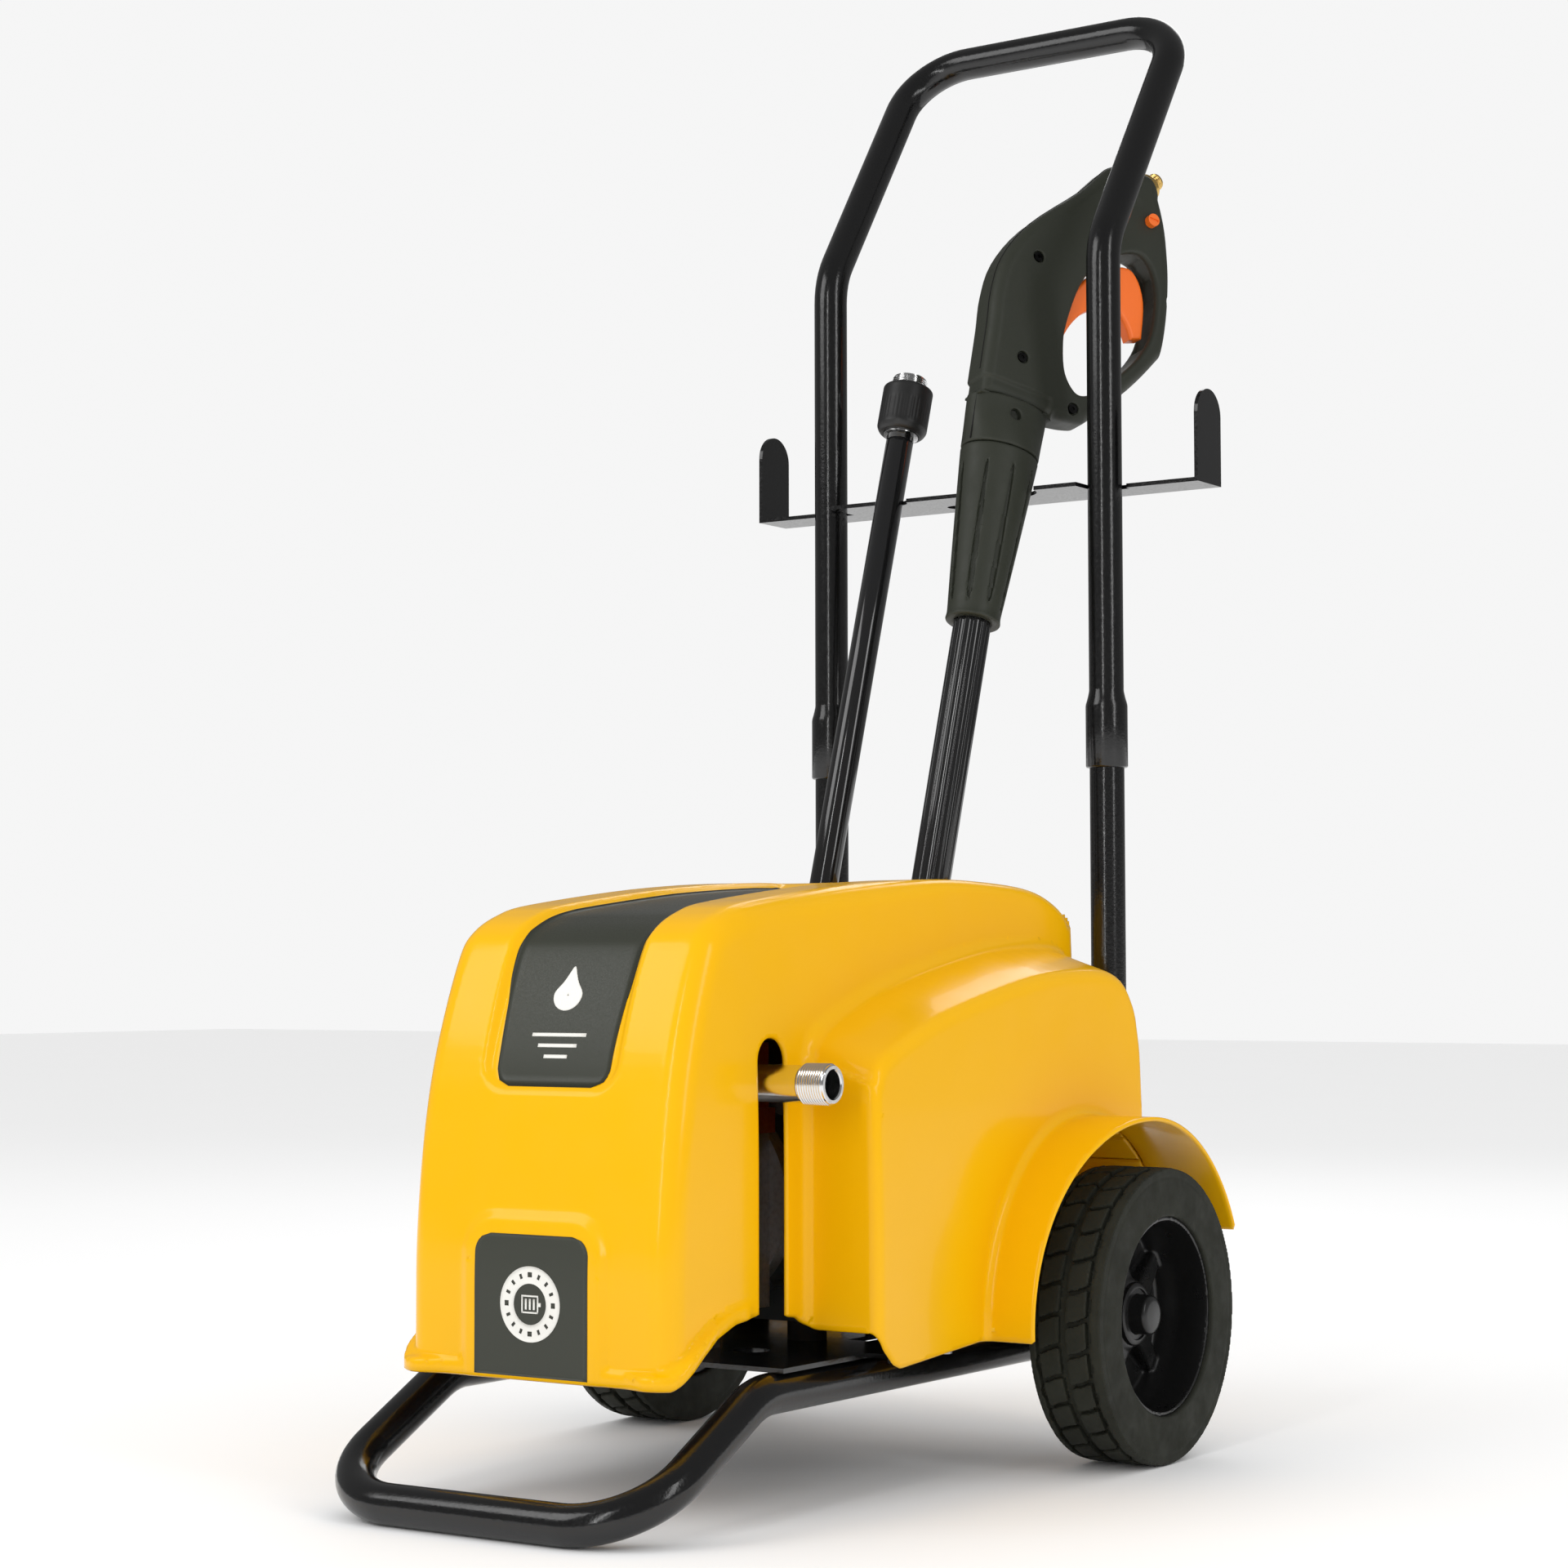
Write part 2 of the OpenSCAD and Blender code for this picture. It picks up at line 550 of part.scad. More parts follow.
gun_line = [[-31, 74], [34, 74], [57, 76], [66, 83], [97, 122], [121, 159], [122, 188], [114, 242],
    [106, 268], [90, 298], [85, 302], [64, 302], [48, 294], [40, 283], [27, 265], [-10, 222],
    [-29, 187], [-33, 158], [-32, 128]];
gun_hole = [[30, 134], [36, 108], [49, 97], [63, 104], [83, 126], [100, 150], [108, 170],
    [106, 204], [96, 226], [80, 231], [51, 209], [38, 187], [31, 160]];
trigger_room = [[15.5, 126], [24, 120.5], [34, 124], [108, 160], [108, 206], [104, 222], [92, 232],
    [62, 231], [40, 215], [25.5, 186], [16, 150]];
trigger_line = [[18, 127], [24, 123.5], [30, 126], [33, 138], [38, 152], [46, 166], [56, 176],
    [66, 182], [76, 183], [86, 175], [93, 163], [103, 167], [100, 198], [90, 218], [78, 221],
    [54, 208], [36, 182], [22, 148], [18, 134]];
pin_at = [24, 130];
screws_at = [[-2, 194], [-2, 109], [47, 84]];

// plate in the gun's own plane, half thickness w
module gun_form(pts, w) rotate([90, 0, 0]) translate([0, 0, -w]) linear_extrude(2 * w) polygon(pts);
module gun_cross(x, z, w, r, f = 64) translate([x, w, z]) rotate([90, 0, 0]) cylinder(2 * w, r, r, $fn = f);

module gun_body() color(plastic) gun_at() difference() {
    gun_form(gun_line, gun_half);
    gun_form(gun_hole, gun_half + 1);
    gun_form(trigger_room, 7.5);
    gun_cross(pin_at[0], pin_at[1], 12, 2.5);
    gun_cross(91, 262, 20, 5 + run_gap);
    for (p = screws_at) translate([p[0], -gun_half + 3, p[1]]) rotate([90, 0, 0])
        cylinder(10, 5, 5, $fn = fa);
    nipple_at() {
        translate([0, 0, -10]) cylinder(60, 8, 8, $fn = fa);
        translate([0, 0, 12]) cylinder(40, 11.5, 11.5, $fn = fa);
    }
}

module gun_collar() color(plastic) gun_at() translate([0, 0, 33]) intersection() {
    cylinder(41, 31, 35, $fn = 96);
    translate([-50, -26, 0]) cube([100, 52, 41]);
}

module gun_sleeve() color(plastic) gun_at() translate([0, 0, -103]) difference() {
    union() {
        cylinder(4, 20.5, 20.5, $fn = 96);
        translate([0, 0, 4]) cylinder(132, 19.5, 31, $fn = 96);
    }
    translate([0, 0, -1]) cylinder(138, gun_tube_r, gun_tube_r, $fn = 96);
    for (i = [0 : 7]) rotate(45 * i) translate([18, -2, 24]) rotate([0, 5, 0]) cube([10, 4, 88]);
}

module gun_tube() color(dark) gun_at() translate([0, 0, -385]) difference() {
    cylinder(418, gun_tube_r, gun_tube_r, $fn = 96);
    translate([0, 0, -1]) cylinder(420, 8, 8, $fn = fa);
    for (i = [0 : 11]) rotate(30 * i) translate([gun_tube_r + 0.6, 0, 12]) cylinder(270, 2, 2, $fn = 32);
}

// the hose nipple's own frame: Z along the nipple
module nipple_at() translate([82, 0, 287]) rotate([0, 39.8, 0]) children();
module gun_inlet() color([0.75, 0.58, 0.28]) gun_at() nipple_at() difference() {
    union() {
        translate([0, 0, -10]) cylinder(26, 8, 8, $fn = fa);
        translate([0, 0, 12]) cylinder(6, 11, 11, $fn = 6);
        translate([0, 0, 16]) cylinder(10, 7, 7, $fn = fa);
    }
    translate([0, 0, 2]) cylinder(40, 3.5, 3.5, $fn = fa);
}

module gun_screws() color(steel) gun_at() for (p = screws_at)
    translate([p[0], -gun_half + 3, p[1]]) rotate([90, 0, 0]) difference() {
        cylinder(2, 3.6, 3.6, $fn = fa);
        translate([0, 0, 1]) cylinder(2, 1.6, 1.6, $fn = 6);
    }

module trigger() color([0.94, 0.42, 0.1]) gun_at() difference() {
    gun_form(trigger_line, 7);
    gun_cross(pin_at[0], pin_at[1], 20, 2.5 + run_gap);
}

module trigger_pin() color(steel) gun_at() gun_cross(pin_at[0], pin_at[1], 12, 2.5);

module trigger_lock() color([0.94, 0.42, 0.1]) gun_at() difference() {
    gun_cross(91, 262, gun_half + 1.5, 5);
    translate([87, -gun_half - 3, 261]) cube([8, 2.4, 2]);
}

module spare_tube() color(dark) spare_at() difference() {
    translate([0, 0, -368]) cylinder(431, spare_r, spare_r, $fn = 96);
    translate([0, 0, -380]) cylinder(500, 5, 5, $fn = fa);
}

module spare_nozzle() color(plastic) spare_at() difference() {
    translate([0, 0, -384]) cylinder(16, 9, 13.5, $fn = fa);
    translate([0, 0, -390]) cylinder(30, 1.5, 1.5, $fn = fa);
}

module spare_nipple() color(steel) spare_at() difference() {
    translate([0, 0, 63]) cylinder(49, 13.5, 13.5, $fn = fa);
    translate([0, 0, 60]) cylinder(60, 5, 5, $fn = fa);
}

module spare_nut() color(plastic) spare_at() difference() {
    union() {
        translate([0, 0, 64]) cylinder(39, 19.5, 19.5, $fn = fa);
        for (i = [0 : 11]) rotate(30 * i) translate([18.6, 0, 66]) cylinder(35, 1.6, 1.6, $fn = 32);
    }
    translate([0, 0, 60]) cylinder(50, 13.55, 13.55, $fn = fa);
}

// rocker with a pivot pin that shows at both ends
module switch_rocker() color([0.75, 0.1, 0.08]) place() union() {
    translate([55, 96, 283]) rotate([0, 90, 0]) translate([0, 0, -17.5]) linear_extrude(35)
        polygon([[-9, -6], [9, -6], [9, 3], [0, 1.8], [-9, 6]]);
    along_x(36, 74, 1.5, 96, 283);
}

lower_frame();
handle_frame();
handle_screws();
hook_bracket();
base_plate();
axle();
axle_brackets();
axle_spacers();
axle_clips();
cover();
cover_screws();
upper_decal();
lower_decal();
round_badge();
motor_housing();
motor_front_bell();
motor_rear_bell();
fan_cover();
terminal_box();
capacitor();
rubber_mounts();
mount_bolts();
pump_crankcase();
pump_head();
valve_caps();
inlet_pipe();
outlet_fitting();
lance_holder();
switch_housing();
cord_gland();
left_tyre();
left_rim();
left_bush();
left_cap();
right_tyre();
right_rim();
right_bush();
right_cap();
motor_shaft();
motor_rotor();
motor_fan();
gun_body();
gun_collar();
gun_sleeve();
gun_tube();
gun_inlet();
gun_screws();
trigger();
trigger_pin();
trigger_lock();
spare_tube();
spare_nozzle();
spare_nipple();
spare_nut();
switch_rocker();
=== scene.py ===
"""Looks of the trolley pressure washer: moulded cover, tube frame, wheels, gun and spare lance.
Lengths are in millimetres, measured from the middle of the axle's line on the ground, until a mesh is made."""

import json
import math

import bpy
import numpy as np
from mathutils import Euler, Matrix, Vector


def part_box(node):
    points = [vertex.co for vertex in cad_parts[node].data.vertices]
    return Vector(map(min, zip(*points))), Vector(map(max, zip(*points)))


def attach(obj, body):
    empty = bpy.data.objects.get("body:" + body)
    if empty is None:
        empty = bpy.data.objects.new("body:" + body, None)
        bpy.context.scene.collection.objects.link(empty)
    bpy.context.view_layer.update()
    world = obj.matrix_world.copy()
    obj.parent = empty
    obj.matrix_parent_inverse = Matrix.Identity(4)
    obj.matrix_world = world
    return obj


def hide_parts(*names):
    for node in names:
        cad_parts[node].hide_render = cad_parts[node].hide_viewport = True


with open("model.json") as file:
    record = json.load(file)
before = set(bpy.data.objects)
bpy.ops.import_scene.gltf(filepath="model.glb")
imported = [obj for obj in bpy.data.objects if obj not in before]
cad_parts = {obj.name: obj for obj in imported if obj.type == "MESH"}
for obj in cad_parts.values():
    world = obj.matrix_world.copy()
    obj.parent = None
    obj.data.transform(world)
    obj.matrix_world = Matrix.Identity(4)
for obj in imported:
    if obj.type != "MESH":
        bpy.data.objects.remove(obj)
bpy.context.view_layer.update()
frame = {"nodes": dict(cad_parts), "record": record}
nodes = frame["nodes"]
MM = 0.001

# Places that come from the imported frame
axle_low, axle_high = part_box("axle")
AXLE_Y = (axle_low.y + axle_high.y) / 2
AXLE_Z = (axle_low.z + axle_high.z) / 2 / MM
tyre_low, tyre_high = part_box("right_tyre")
TYRE_MID = (tyre_low.x + tyre_high.x) / 2 / MM
TYRE_HALF = (tyre_high.x - tyre_low.x) / 2 / MM
WHEEL_R = (tyre_high.z - tyre_low.z) / 2 / MM
RIM_R = 67.0

# Driving sizes
TUBE_R = 12.7
RAIL_X, RAIL_Z = 120.0, 77.0
UPRIGHT_Y, KNEE_Z = 112.0, 872.0
HANDLE_Y, HANDLE_Z = 245.0, 1069.0
FRONT_Y = -467.0
JOINT_Z, JOINT_LEN, JOINT_R = 482.0, 47.0, 15.35
WALL = 3.0
NOSE_X, HIP_X = 104.0, 158.0
ARCH_R, ARCH_X = 134.0, 219.0
REAR_Y = 97.0
HIP_TILT = 0.34
# angle above the axle where an arch ends at the rear
ARCH_END = 0.39
SLOT_Y, SLOT_Z, SLOT_HALF = -302.0, 277.0, 16.0
POCKET_R = 19.0
# the rear wall's row of vents, and the hole for the switch
VENT_X, VENT_Z, VENT_PITCH, VENT_HALF, VENT_REACH, ROW_HALF = -49.0, 190.0, 14.0, 2.5, 30.0, 46.0
SWITCH_X, SWITCH_Z, SWITCH_WIDE, SWITCH_HIGH = 55.0, 283.0, 23.0, 15.0
LEAN = math.radians(17.6)
GUN_TURN = math.radians(60)
GUN_PLACE = (40.0, 86.0, 686.0)
SPARE_PLACE = (-52.0, 86.0, 682.0)
GUN_TUBE_R, SPARE_TUBE_R = 13.9, 10.4
INLET_X, INLET_Z, INLET_TURN = 82.0, 287.0, math.radians(39.8)
CAP_FOOT_X = 196.0
PIPE_Y, PIPE_Z, PIPE_START, PIPE_END = -301.0, 264.0, 60.0, 148.0


# ---------------------------------------------------------------- distance fields and meshes

def step(t):
    """Smooth rise from 0 to 1 as t goes from 0 to 1."""
    t = np.clip(t, 0.0, 1.0)
    return t * t * (3 - 2 * t)


def both(a, b, r):
    """Where a and b are both solid, with an edge of radius r."""
    return np.minimum(np.maximum(a, b), -r) + np.hypot(np.maximum(a + r, 0), np.maximum(b + r, 0))


def either(a, b, r):
    """Where a or b is solid, with a fillet of radius r."""
    return -both(-a, -b, r)


def smooth_outline(points, per_side=6):
    """A closed smooth curve through the points; a repeated point is a corner."""
    p = np.array(points, float)
    n = len(p)
    out = []
    for i in range(n):
        a, b, c, d = p[i - 1], p[i], p[(i + 1) % n], p[(i + 2) % n]
        if np.allclose(b, c):
            continue
        for t in np.arange(per_side) / per_side:
            out.append(0.5 * (2 * b + (c - a) * t + (2 * a - 5 * b + 4 * c - d) * t * t
                              + (3 * b - a - 3 * c + d) * t ** 3))
    return np.array(out)


def outline(u, v, points):
    """Signed distance from (u, v) to a closed outline, negative inside."""
    best = np.full(np.broadcast(u, v).shape, 1e9)
    inside = np.zeros(best.shape, bool)
    for (ax, ay), (bx, by) in zip(points, np.roll(points, -1, axis=0)):
        ex, ey = bx - ax, by - ay
        t = np.clip(((u - ax) * ex + (v - ay) * ey) / (ex * ex + ey * ey + 1e-12), 0, 1)
        best = np.minimum(best, (u - ax - t * ex) ** 2 + (v - ay - t * ey) ** 2)
        if ey != 0:
            inside ^= ((ay > v) != (by > v)) & (u < ax + (v - ay) * ex / ey)
    return np.where(inside, -1.0, 1.0) * np.sqrt(best)


def slope(field, p, h):
    """Value and gradient of a field at the points p."""
    value = field(p[:, 0], p[:, 1], p[:, 2])
    grad = np.stack([field(*(p + h * np.eye(3)[i]).T) - value for i in range(3)], 1) / h
    return value, grad


def onto(field, p, reach, rounds=3, level=0.0):
    """Moves the points onto the surface field = level, by at most reach."""
    start = p.copy()
    for _ in range(rounds):
        value, grad = slope(field, p, 0.02)
        p = p - grad * ((value - level) / np.maximum((grad ** 2).sum(1), 0.05))[:, None]
        p = start + np.clip(p - start, -reach, reach)
    return p


def surface(field, low, high, cell):
    """Vertices and quads of the surface where the field changes sign, inside a box."""
    low = np.array(low, float)
    count = [int(math.ceil((high[i] - low[i]) / cell)) + 1 for i in range(3)]
    grid = np.ix_(*[low[i] + cell * np.arange(count[i]) for i in range(3)])
    solid = np.broadcast_to(field(*grid), count) < 0
    corners = sum(solid[i:count[0] - 1 + i, j:count[1] - 1 + j, k:count[2] - 1 + k].astype(np.int8)
                  for i in (0, 1) for j in (0, 1) for k in (0, 1))
    active = (corners > 0) & (corners < 8)
    index = np.full(active.shape, -1)
    index[active] = np.arange(active.sum())
    points = low + cell * (np.argwhere(active) + 0.5)
    quads = []
    for axis in range(3):
        b, c = (axis + 1) % 3, (axis + 2) % 3
        near = np.take(solid, range(count[axis] - 1), axis)
        far = np.take(solid, range(1, count[axis]), axis)
        at = np.argwhere(near != far)
        at = at[(at[:, b] > 0) & (at[:, c] > 0) & (at[:, b] < count[b] - 1) & (at[:, c] < count[c] - 1)]
        ring = []
        for db, dc in ((-1, -1), (0, -1), (0, 0), (-1, 0)):
            spot = at.copy()
            spot[:, b] += db
            spot[:, c] += dc
            ring.append(index[tuple(spot.T)])
        ring = np.stack(ring, 1)
        outward = near[tuple(at.T)]
        ring[~outward] = ring[~outward][:, ::-1]
        quads.append(ring)
    quads = np.concatenate(quads)
    return onto(field, points, cell * 0.9), quads[(quads >= 0).all(1)]


def make(name, points, faces, body, material, slot):
    """A smooth-shaded object from points in millimetres, riding on a CAD body."""
    mesh = bpy.data.meshes.new(name)
    mesh.from_pydata((np.asarray(points, float) * MM).tolist(), [], [[int(i) for i in face] for face in faces])
    mesh.update()
    mesh.polygons.foreach_set("use_smooth", [True] * len(mesh.polygons))
    obj = bpy.data.objects.new(name, mesh)
    bpy.context.scene.collection.objects.link(obj)
    mesh.transform(Matrix.Translation((0, AXLE_Y, 0)))
    mesh.materials.append(material)
    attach(obj, body)
    return obj


def crease(obj, degrees):
    """Sharp edges where faces meet at more than this angle."""
    obj.data.set_sharp_from_angle(angle=math.radians(degrees))
    return obj


def unit(vectors):
    return vectors / (np.linalg.norm(vectors, axis=1)[:, None] + 1e-9)


def open_edges(quads):
    """Directed edges that belong to one quad only."""
    ends = np.concatenate([np.stack([quads[:, i], quads[:, (i + 1) % 4]], 1) for i in range(4)])
    _, first, times = np.unique(np.sort(ends, 1), axis=0, return_index=True, return_counts=True)
    return ends[first[times == 1]]


def shell(field, keep, low, high, cell, wall):
    """The surface of a field as a moulded wall, kept where keep is positive, with a rounded rim."""
    points, quads = surface(field, low, high, cell)
    quads = quads[keep(*points[quads].mean(1).T) > 0]
    used, quads = np.unique(quads, return_inverse=True)
    points, quads = points[used], quads.reshape(-1, 4)
    rim = open_edges(quads)
    edge = np.unique(rim)
    for _ in range(4):
        spot = points[edge]
        value, grad = slope(keep, spot, 0.05)
        normal = unit(slope(field, spot, 0.02)[1])
        grad -= normal * (grad * normal).sum(1)[:, None]
        size = (grad ** 2).sum(1)
        shift = -grad * (value / np.maximum(size, 0.2))[:, None]
        points[edge] = onto(field, spot + np.clip(shift, -cell, cell), cell)
    normal = unit(slope(field, points, 0.02)[1])
    away = slope(keep, points[edge], 0.05)[1]
    away = unit(away - normal[edge] * (away * normal[edge]).sum(1)[:, None])
    count = len(points)
    inner = points - normal * wall
    middle = points[edge] - normal[edge] * wall / 2 - away * wall * 0.35
    of_edge = dict(zip(edge.tolist(), range(len(edge))))
    strip = []
    for a, b in rim:
        ma, mb = 2 * count + of_edge[a], 2 * count + of_edge[b]
        strip += [(b, a, ma, mb), (mb, ma, a + count, b + count)]
    return np.concatenate([points, inner, middle]), np.concatenate([quads, quads[:, ::-1] + count, strip])


def ring_faces(rings, sides):
    """Quads between each ring of points and the next."""
    return [(i * sides + j, i * sides + (j + 1) % sides, (i + 1) * sides + (j + 1) % sides, (i + 1) * sides + j)
            for i in range(rings - 1) for j in range(sides)]


def revolve(profile, sides):
    """Points and faces of a profile of (radius, height) turned about Z; radius 0 closes an end."""
    angle = np.arange(sides) * 2 * math.pi / sides
    points = np.array([(r * math.cos(a), r * math.sin(a), h) for r, h in profile for a in angle])
    return points, ring_faces(len(profile), sides)


def rounded_path(corners, radii, arc_step=5):
    """Points along straight runs with round bends, a point each arc_step degrees."""
    corners = [Vector(c) for c in corners]
    out = [corners[0]]
    for i in range(1, len(corners) - 1):
        a = (corners[i - 1] - corners[i]).normalized()
        b = (corners[i + 1] - corners[i]).normalized()
        turn = math.pi - a.angle(b)
        reach = radii[i] * math.tan(turn / 2)
        centre = corners[i] + (a + b).normalized() * radii[i] / math.cos(turn / 2)
        first = corners[i] + a * reach - centre
        count = max(3, int(math.degrees(turn) / arc_step))
        axis = first.cross(-a).normalized()
        out += [centre + Matrix.Rotation(turn * k / count, 3, axis) @ first for k in range(count + 1)]
    return out + [corners[-1]]


def sweep(path, radius, sides=32):
    """Points and faces of a round tube along a path, with closed ends."""
    path = [Vector(p) for p in path]
    tangents = [(path[min(i + 1, len(path) - 1)] - path[max(i - 1, 0)]).normalized() for i in range(len(path))]
    side = tangents[0].orthogonal().normalized()
    points = []
    for p, t in zip(path, tangents):
        side = (side - t * side.dot(t)).normalized()
        other = t.cross(side)
        points += [p + (side * math.cos(a) + other * math.sin(a)) * radius
                   for a in (2 * math.pi * k / sides for k in range(sides))]
    faces = ring_faces(len(path), sides)
    faces += [list(range(sides))[::-1], [(len(path) - 1) * sides + j for j in range(sides)]]
    return np.array([tuple(p) for p in points]), faces


def joined(parts):
    """Several (points, faces) as one."""
    points, faces, base = [], [], 0
    for p, f in parts:
        points.append(np.asarray(p, float))
        faces += [[int(i) + base for i in face] for face in f]
        base += len(p)
    return np.concatenate(points), faces


def moved(part, matrix):
    """The (points, faces) of a part in another place."""
    points, faces = part
    m = np.array(matrix)
    return points @ m[:3, :3].T + m[:3, 3], faces


# ---------------------------------------------------------------- materials

class Nodes:
    """A small helper that builds one procedural material."""

    def __init__(self, name, color, rough, metal=0.0, spec=0.5, coat=0.0, coat_rough=0.05):
        self.material = bpy.data.materials.new(name)
        self.material.use_nodes = True
        self.tree = self.material.node_tree
        self.shader = self.tree.nodes["Principled BSDF"]
        self.shader.inputs["Base Color"].default_value = (*color, 1)
        self.shader.inputs["Roughness"].default_value = rough
        self.shader.inputs["Metallic"].default_value = metal
        self.shader.inputs["Specular IOR Level"].default_value = spec
        self.shader.inputs["Coat Weight"].default_value = coat
        self.shader.inputs["Coat Roughness"].default_value = coat_rough
        self.where = self.add("ShaderNodeTexCoord").outputs["Object"]
        self.height = None

    def add(self, kind, **values):
        node = self.tree.nodes.new(kind)
        for key, value in values.items():
            if hasattr(node, key):
                setattr(node, key, value)
            else:
                node.inputs[key.replace("_", " ")].default_value = value
        return node

    def link(self, a, b):
        self.tree.links.new(a, b)

    def noise(self, scale, detail=3, rough=0.55, stretch=None):
        node = self.add("ShaderNodeTexNoise", Scale=scale, Detail=detail, Roughness=rough)
        where = self.where
        if stretch:
            mapping = self.add("ShaderNodeMapping", Scale=stretch)
            self.link(where, mapping.inputs["Vector"])
            where = mapping.outputs["Vector"]
        self.link(where, node.inputs["Vector"])
        return node.outputs["Fac"]

    def cells(self, scale):
        node = self.add("ShaderNodeTexVoronoi", Scale=scale)
        self.link(self.where, node.inputs["Vector"])
        return node.outputs["Distance"]

    def ramp(self, source, low, high, a, b):
        node = self.add("ShaderNodeMapRange")
        for key, value in (("From Min", low), ("From Max", high), ("To Min", a), ("To Max", b)):
            node.inputs[key].default_value = value
        self.link(source, node.inputs["Value"])
        return node.outputs["Result"]

    def tint(self, source, first, second):
        """Base colour that drifts between two colours."""
        node = self.add("ShaderNodeMix", data_type="RGBA")
        node.inputs[6].default_value = (*first, 1)
        node.inputs[7].default_value = (*second, 1)
        self.link(source, node.inputs[0])
        self.link(node.outputs[2], self.shader.inputs["Base Color"])
        return self

    def rough(self, source, low, high):
        self.link(self.ramp(source, 0.3, 0.7, low, high), self.shader.inputs["Roughness"])
        return self

    def bump(self, source, depth, strength=1.0):
        """Bump of a given depth in millimetres, laid over any bump before it."""
        node = self.add("ShaderNodeBump", Strength=strength, Distance=depth * MM)
        self.link(source, node.inputs["Height"])
        if self.height:
            self.link(self.height, node.inputs["Normal"])
        self.height = node.outputs["Normal"]
        self.link(self.height, self.shader.inputs["Normal"])
        return self


def shades(color, amount):
    return tuple(c * (1 - amount) for c in color), tuple(min(1, c * (1 + amount)) for c in color)


def moulded(name, color, rough, grain=0.03, grain_scale=1400, spec=0.5, coat=0.0):
    """Moulded plastic: slow colour drift, fine grain and faint flow unevenness."""
    m = Nodes(name, color, rough, spec=spec, coat=coat)
    m.tint(m.noise(9, 4), *shades(color, 0.05))
    m.rough(m.noise(60, 4), rough * 0.85, rough * 1.15)
    m.bump(m.noise(22, 2), 0.25, 0.25)
    return m.bump(m.noise(grain_scale, 2), grain).material


def powder_coat():
    """Gloss black powder coat: a bright orange peel with fine pits."""
    color = (0.0035, 0.0035, 0.0037)
    m = Nodes("powder_coat", color, 0.16, spec=0.5, coat=0.2, coat_rough=0.06)
    m.tint(m.noise(14, 3), *shades(color, 0.2))
    m.rough(m.noise(500, 3), 0.1, 0.26)
    m.bump(m.noise(420, 3), 0.16, 0.7)
    return m.bump(m.cells(900), 0.05, 0.5).material


def metal(name, color, rough, scratch=(1, 1, 1), spec=0.5):
    m = Nodes(name, color, rough, metal=1.0, spec=spec)
    m.tint(m.noise(35, 4), *shades(color, 0.08))
    m.rough(m.noise(300, 4, stretch=scratch), rough * 0.6, rough * 1.5)
    return m.bump(m.noise(900, 3, stretch=scratch), 0.02, 0.6).material


def rubber():
    """Tyre rubber: dull dark grey with dusty patches and mould grain."""
    m = Nodes("tyre_rubber", (0.018, 0.019, 0.012), 0.7, spec=0.3)
    m.tint(m.noise(26, 5, 0.65), (0.008, 0.0085, 0.0055), (0.027, 0.029, 0.019))
    m.rough(m.noise(70, 4), 0.6, 0.85)
    m.bump(m.noise(180, 4), 0.25, 0.5)
    return m.bump(m.noise(1500, 2), 0.05, 0.8).material


def film(name, color, rough):
    """Printed film: flat sheen with a very fine dot grain."""
    m = Nodes(name, color, rough, spec=0.45)
    m.tint(m.noise(12, 3), *shades(color, 0.06))
    m.rough(m.noise(900, 2), rough * 0.85, rough * 1.15)
    return m.bump(m.cells(2400), 0.01, 0.5).material


def yellow_shell():
    """Glossy yellow moulding with slow flow waves and a faint orange peel."""
    color = (0.86, 0.45, 0.001)
    m = Nodes("yellow_moulding", color, 0.22, spec=0.2, coat=0.12, coat_rough=0.04)
    m.tint(m.noise(5, 3), (0.845, 0.435, 0.0008), (0.875, 0.465, 0.0012))
    m.rough(m.noise(40, 3), 0.17, 0.25)
    m.bump(m.noise(12, 2), 0.35, 0.2)
    return m.bump(m.noise(700, 2), 0.008, 0.6).material


YELLOW = yellow_shell()
BLACK_COAT = powder_coat()
GUN_BLACK = moulded("gun_plastic", (0.024, 0.027, 0.018), 0.5, grain=0.06, spec=0.4)
DARK_PLASTIC = moulded("dark_plastic", (0.012, 0.012, 0.012), 0.42, grain=0.04)
RIM_BLACK = moulded("rim_plastic", (0.008, 0.008, 0.008), 0.3, grain=0.02)
LANCE_BLACK = moulded("lance_gloss", (0.006, 0.006, 0.0065), 0.1, grain=0.004, coat=0.5)
ORANGE = moulded("trigger_orange", (0.9, 0.16, 0.012), 0.35, grain=0.02)
RED = moulded("switch_red", (0.42, 0.012, 0.01), 0.3)
NYLON = moulded("bush_nylon", (0.45, 0.44, 0.4), 0.45)
TYRE = rubber()
# near-black, darker than the gun's own plastic: painted shade of the gap along the parting line
SEAM_SHADE = moulded("seam_painted_shade", (0.002, 0.002, 0.0018), 0.8)
SOFT_BLACK = moulded("soft_rubber", (0.02, 0.02, 0.02), 0.7, grain=0.08, grain_scale=500)
DECAL = film("decal_grey", (0.034, 0.037, 0.026), 0.42)
PRINT = film("decal_print", (0.8, 0.79, 0.74), 0.4)
CHROME = metal("bright_metal", (0.78, 0.78, 0.78), 0.16, (6, 1, 1))
ZINC = metal("zinc", (0.5, 0.5, 0.5), 0.34)
BRASS = metal("brass", (0.78, 0.52, 0.17), 0.24)
DARK_STEEL = metal("dark_steel", (0.02, 0.02, 0.02), 0.4)
ALLOY = metal("cast_alloy", (0.42, 0.42, 0.43), 0.5)
RED_ALLOY = metal("red_alloy", (0.5, 0.13, 0.05), 0.45)
MOTOR = moulded("motor_paint", (0.05, 0.055, 0.06), 0.45, grain=0.2, grain_scale=300)

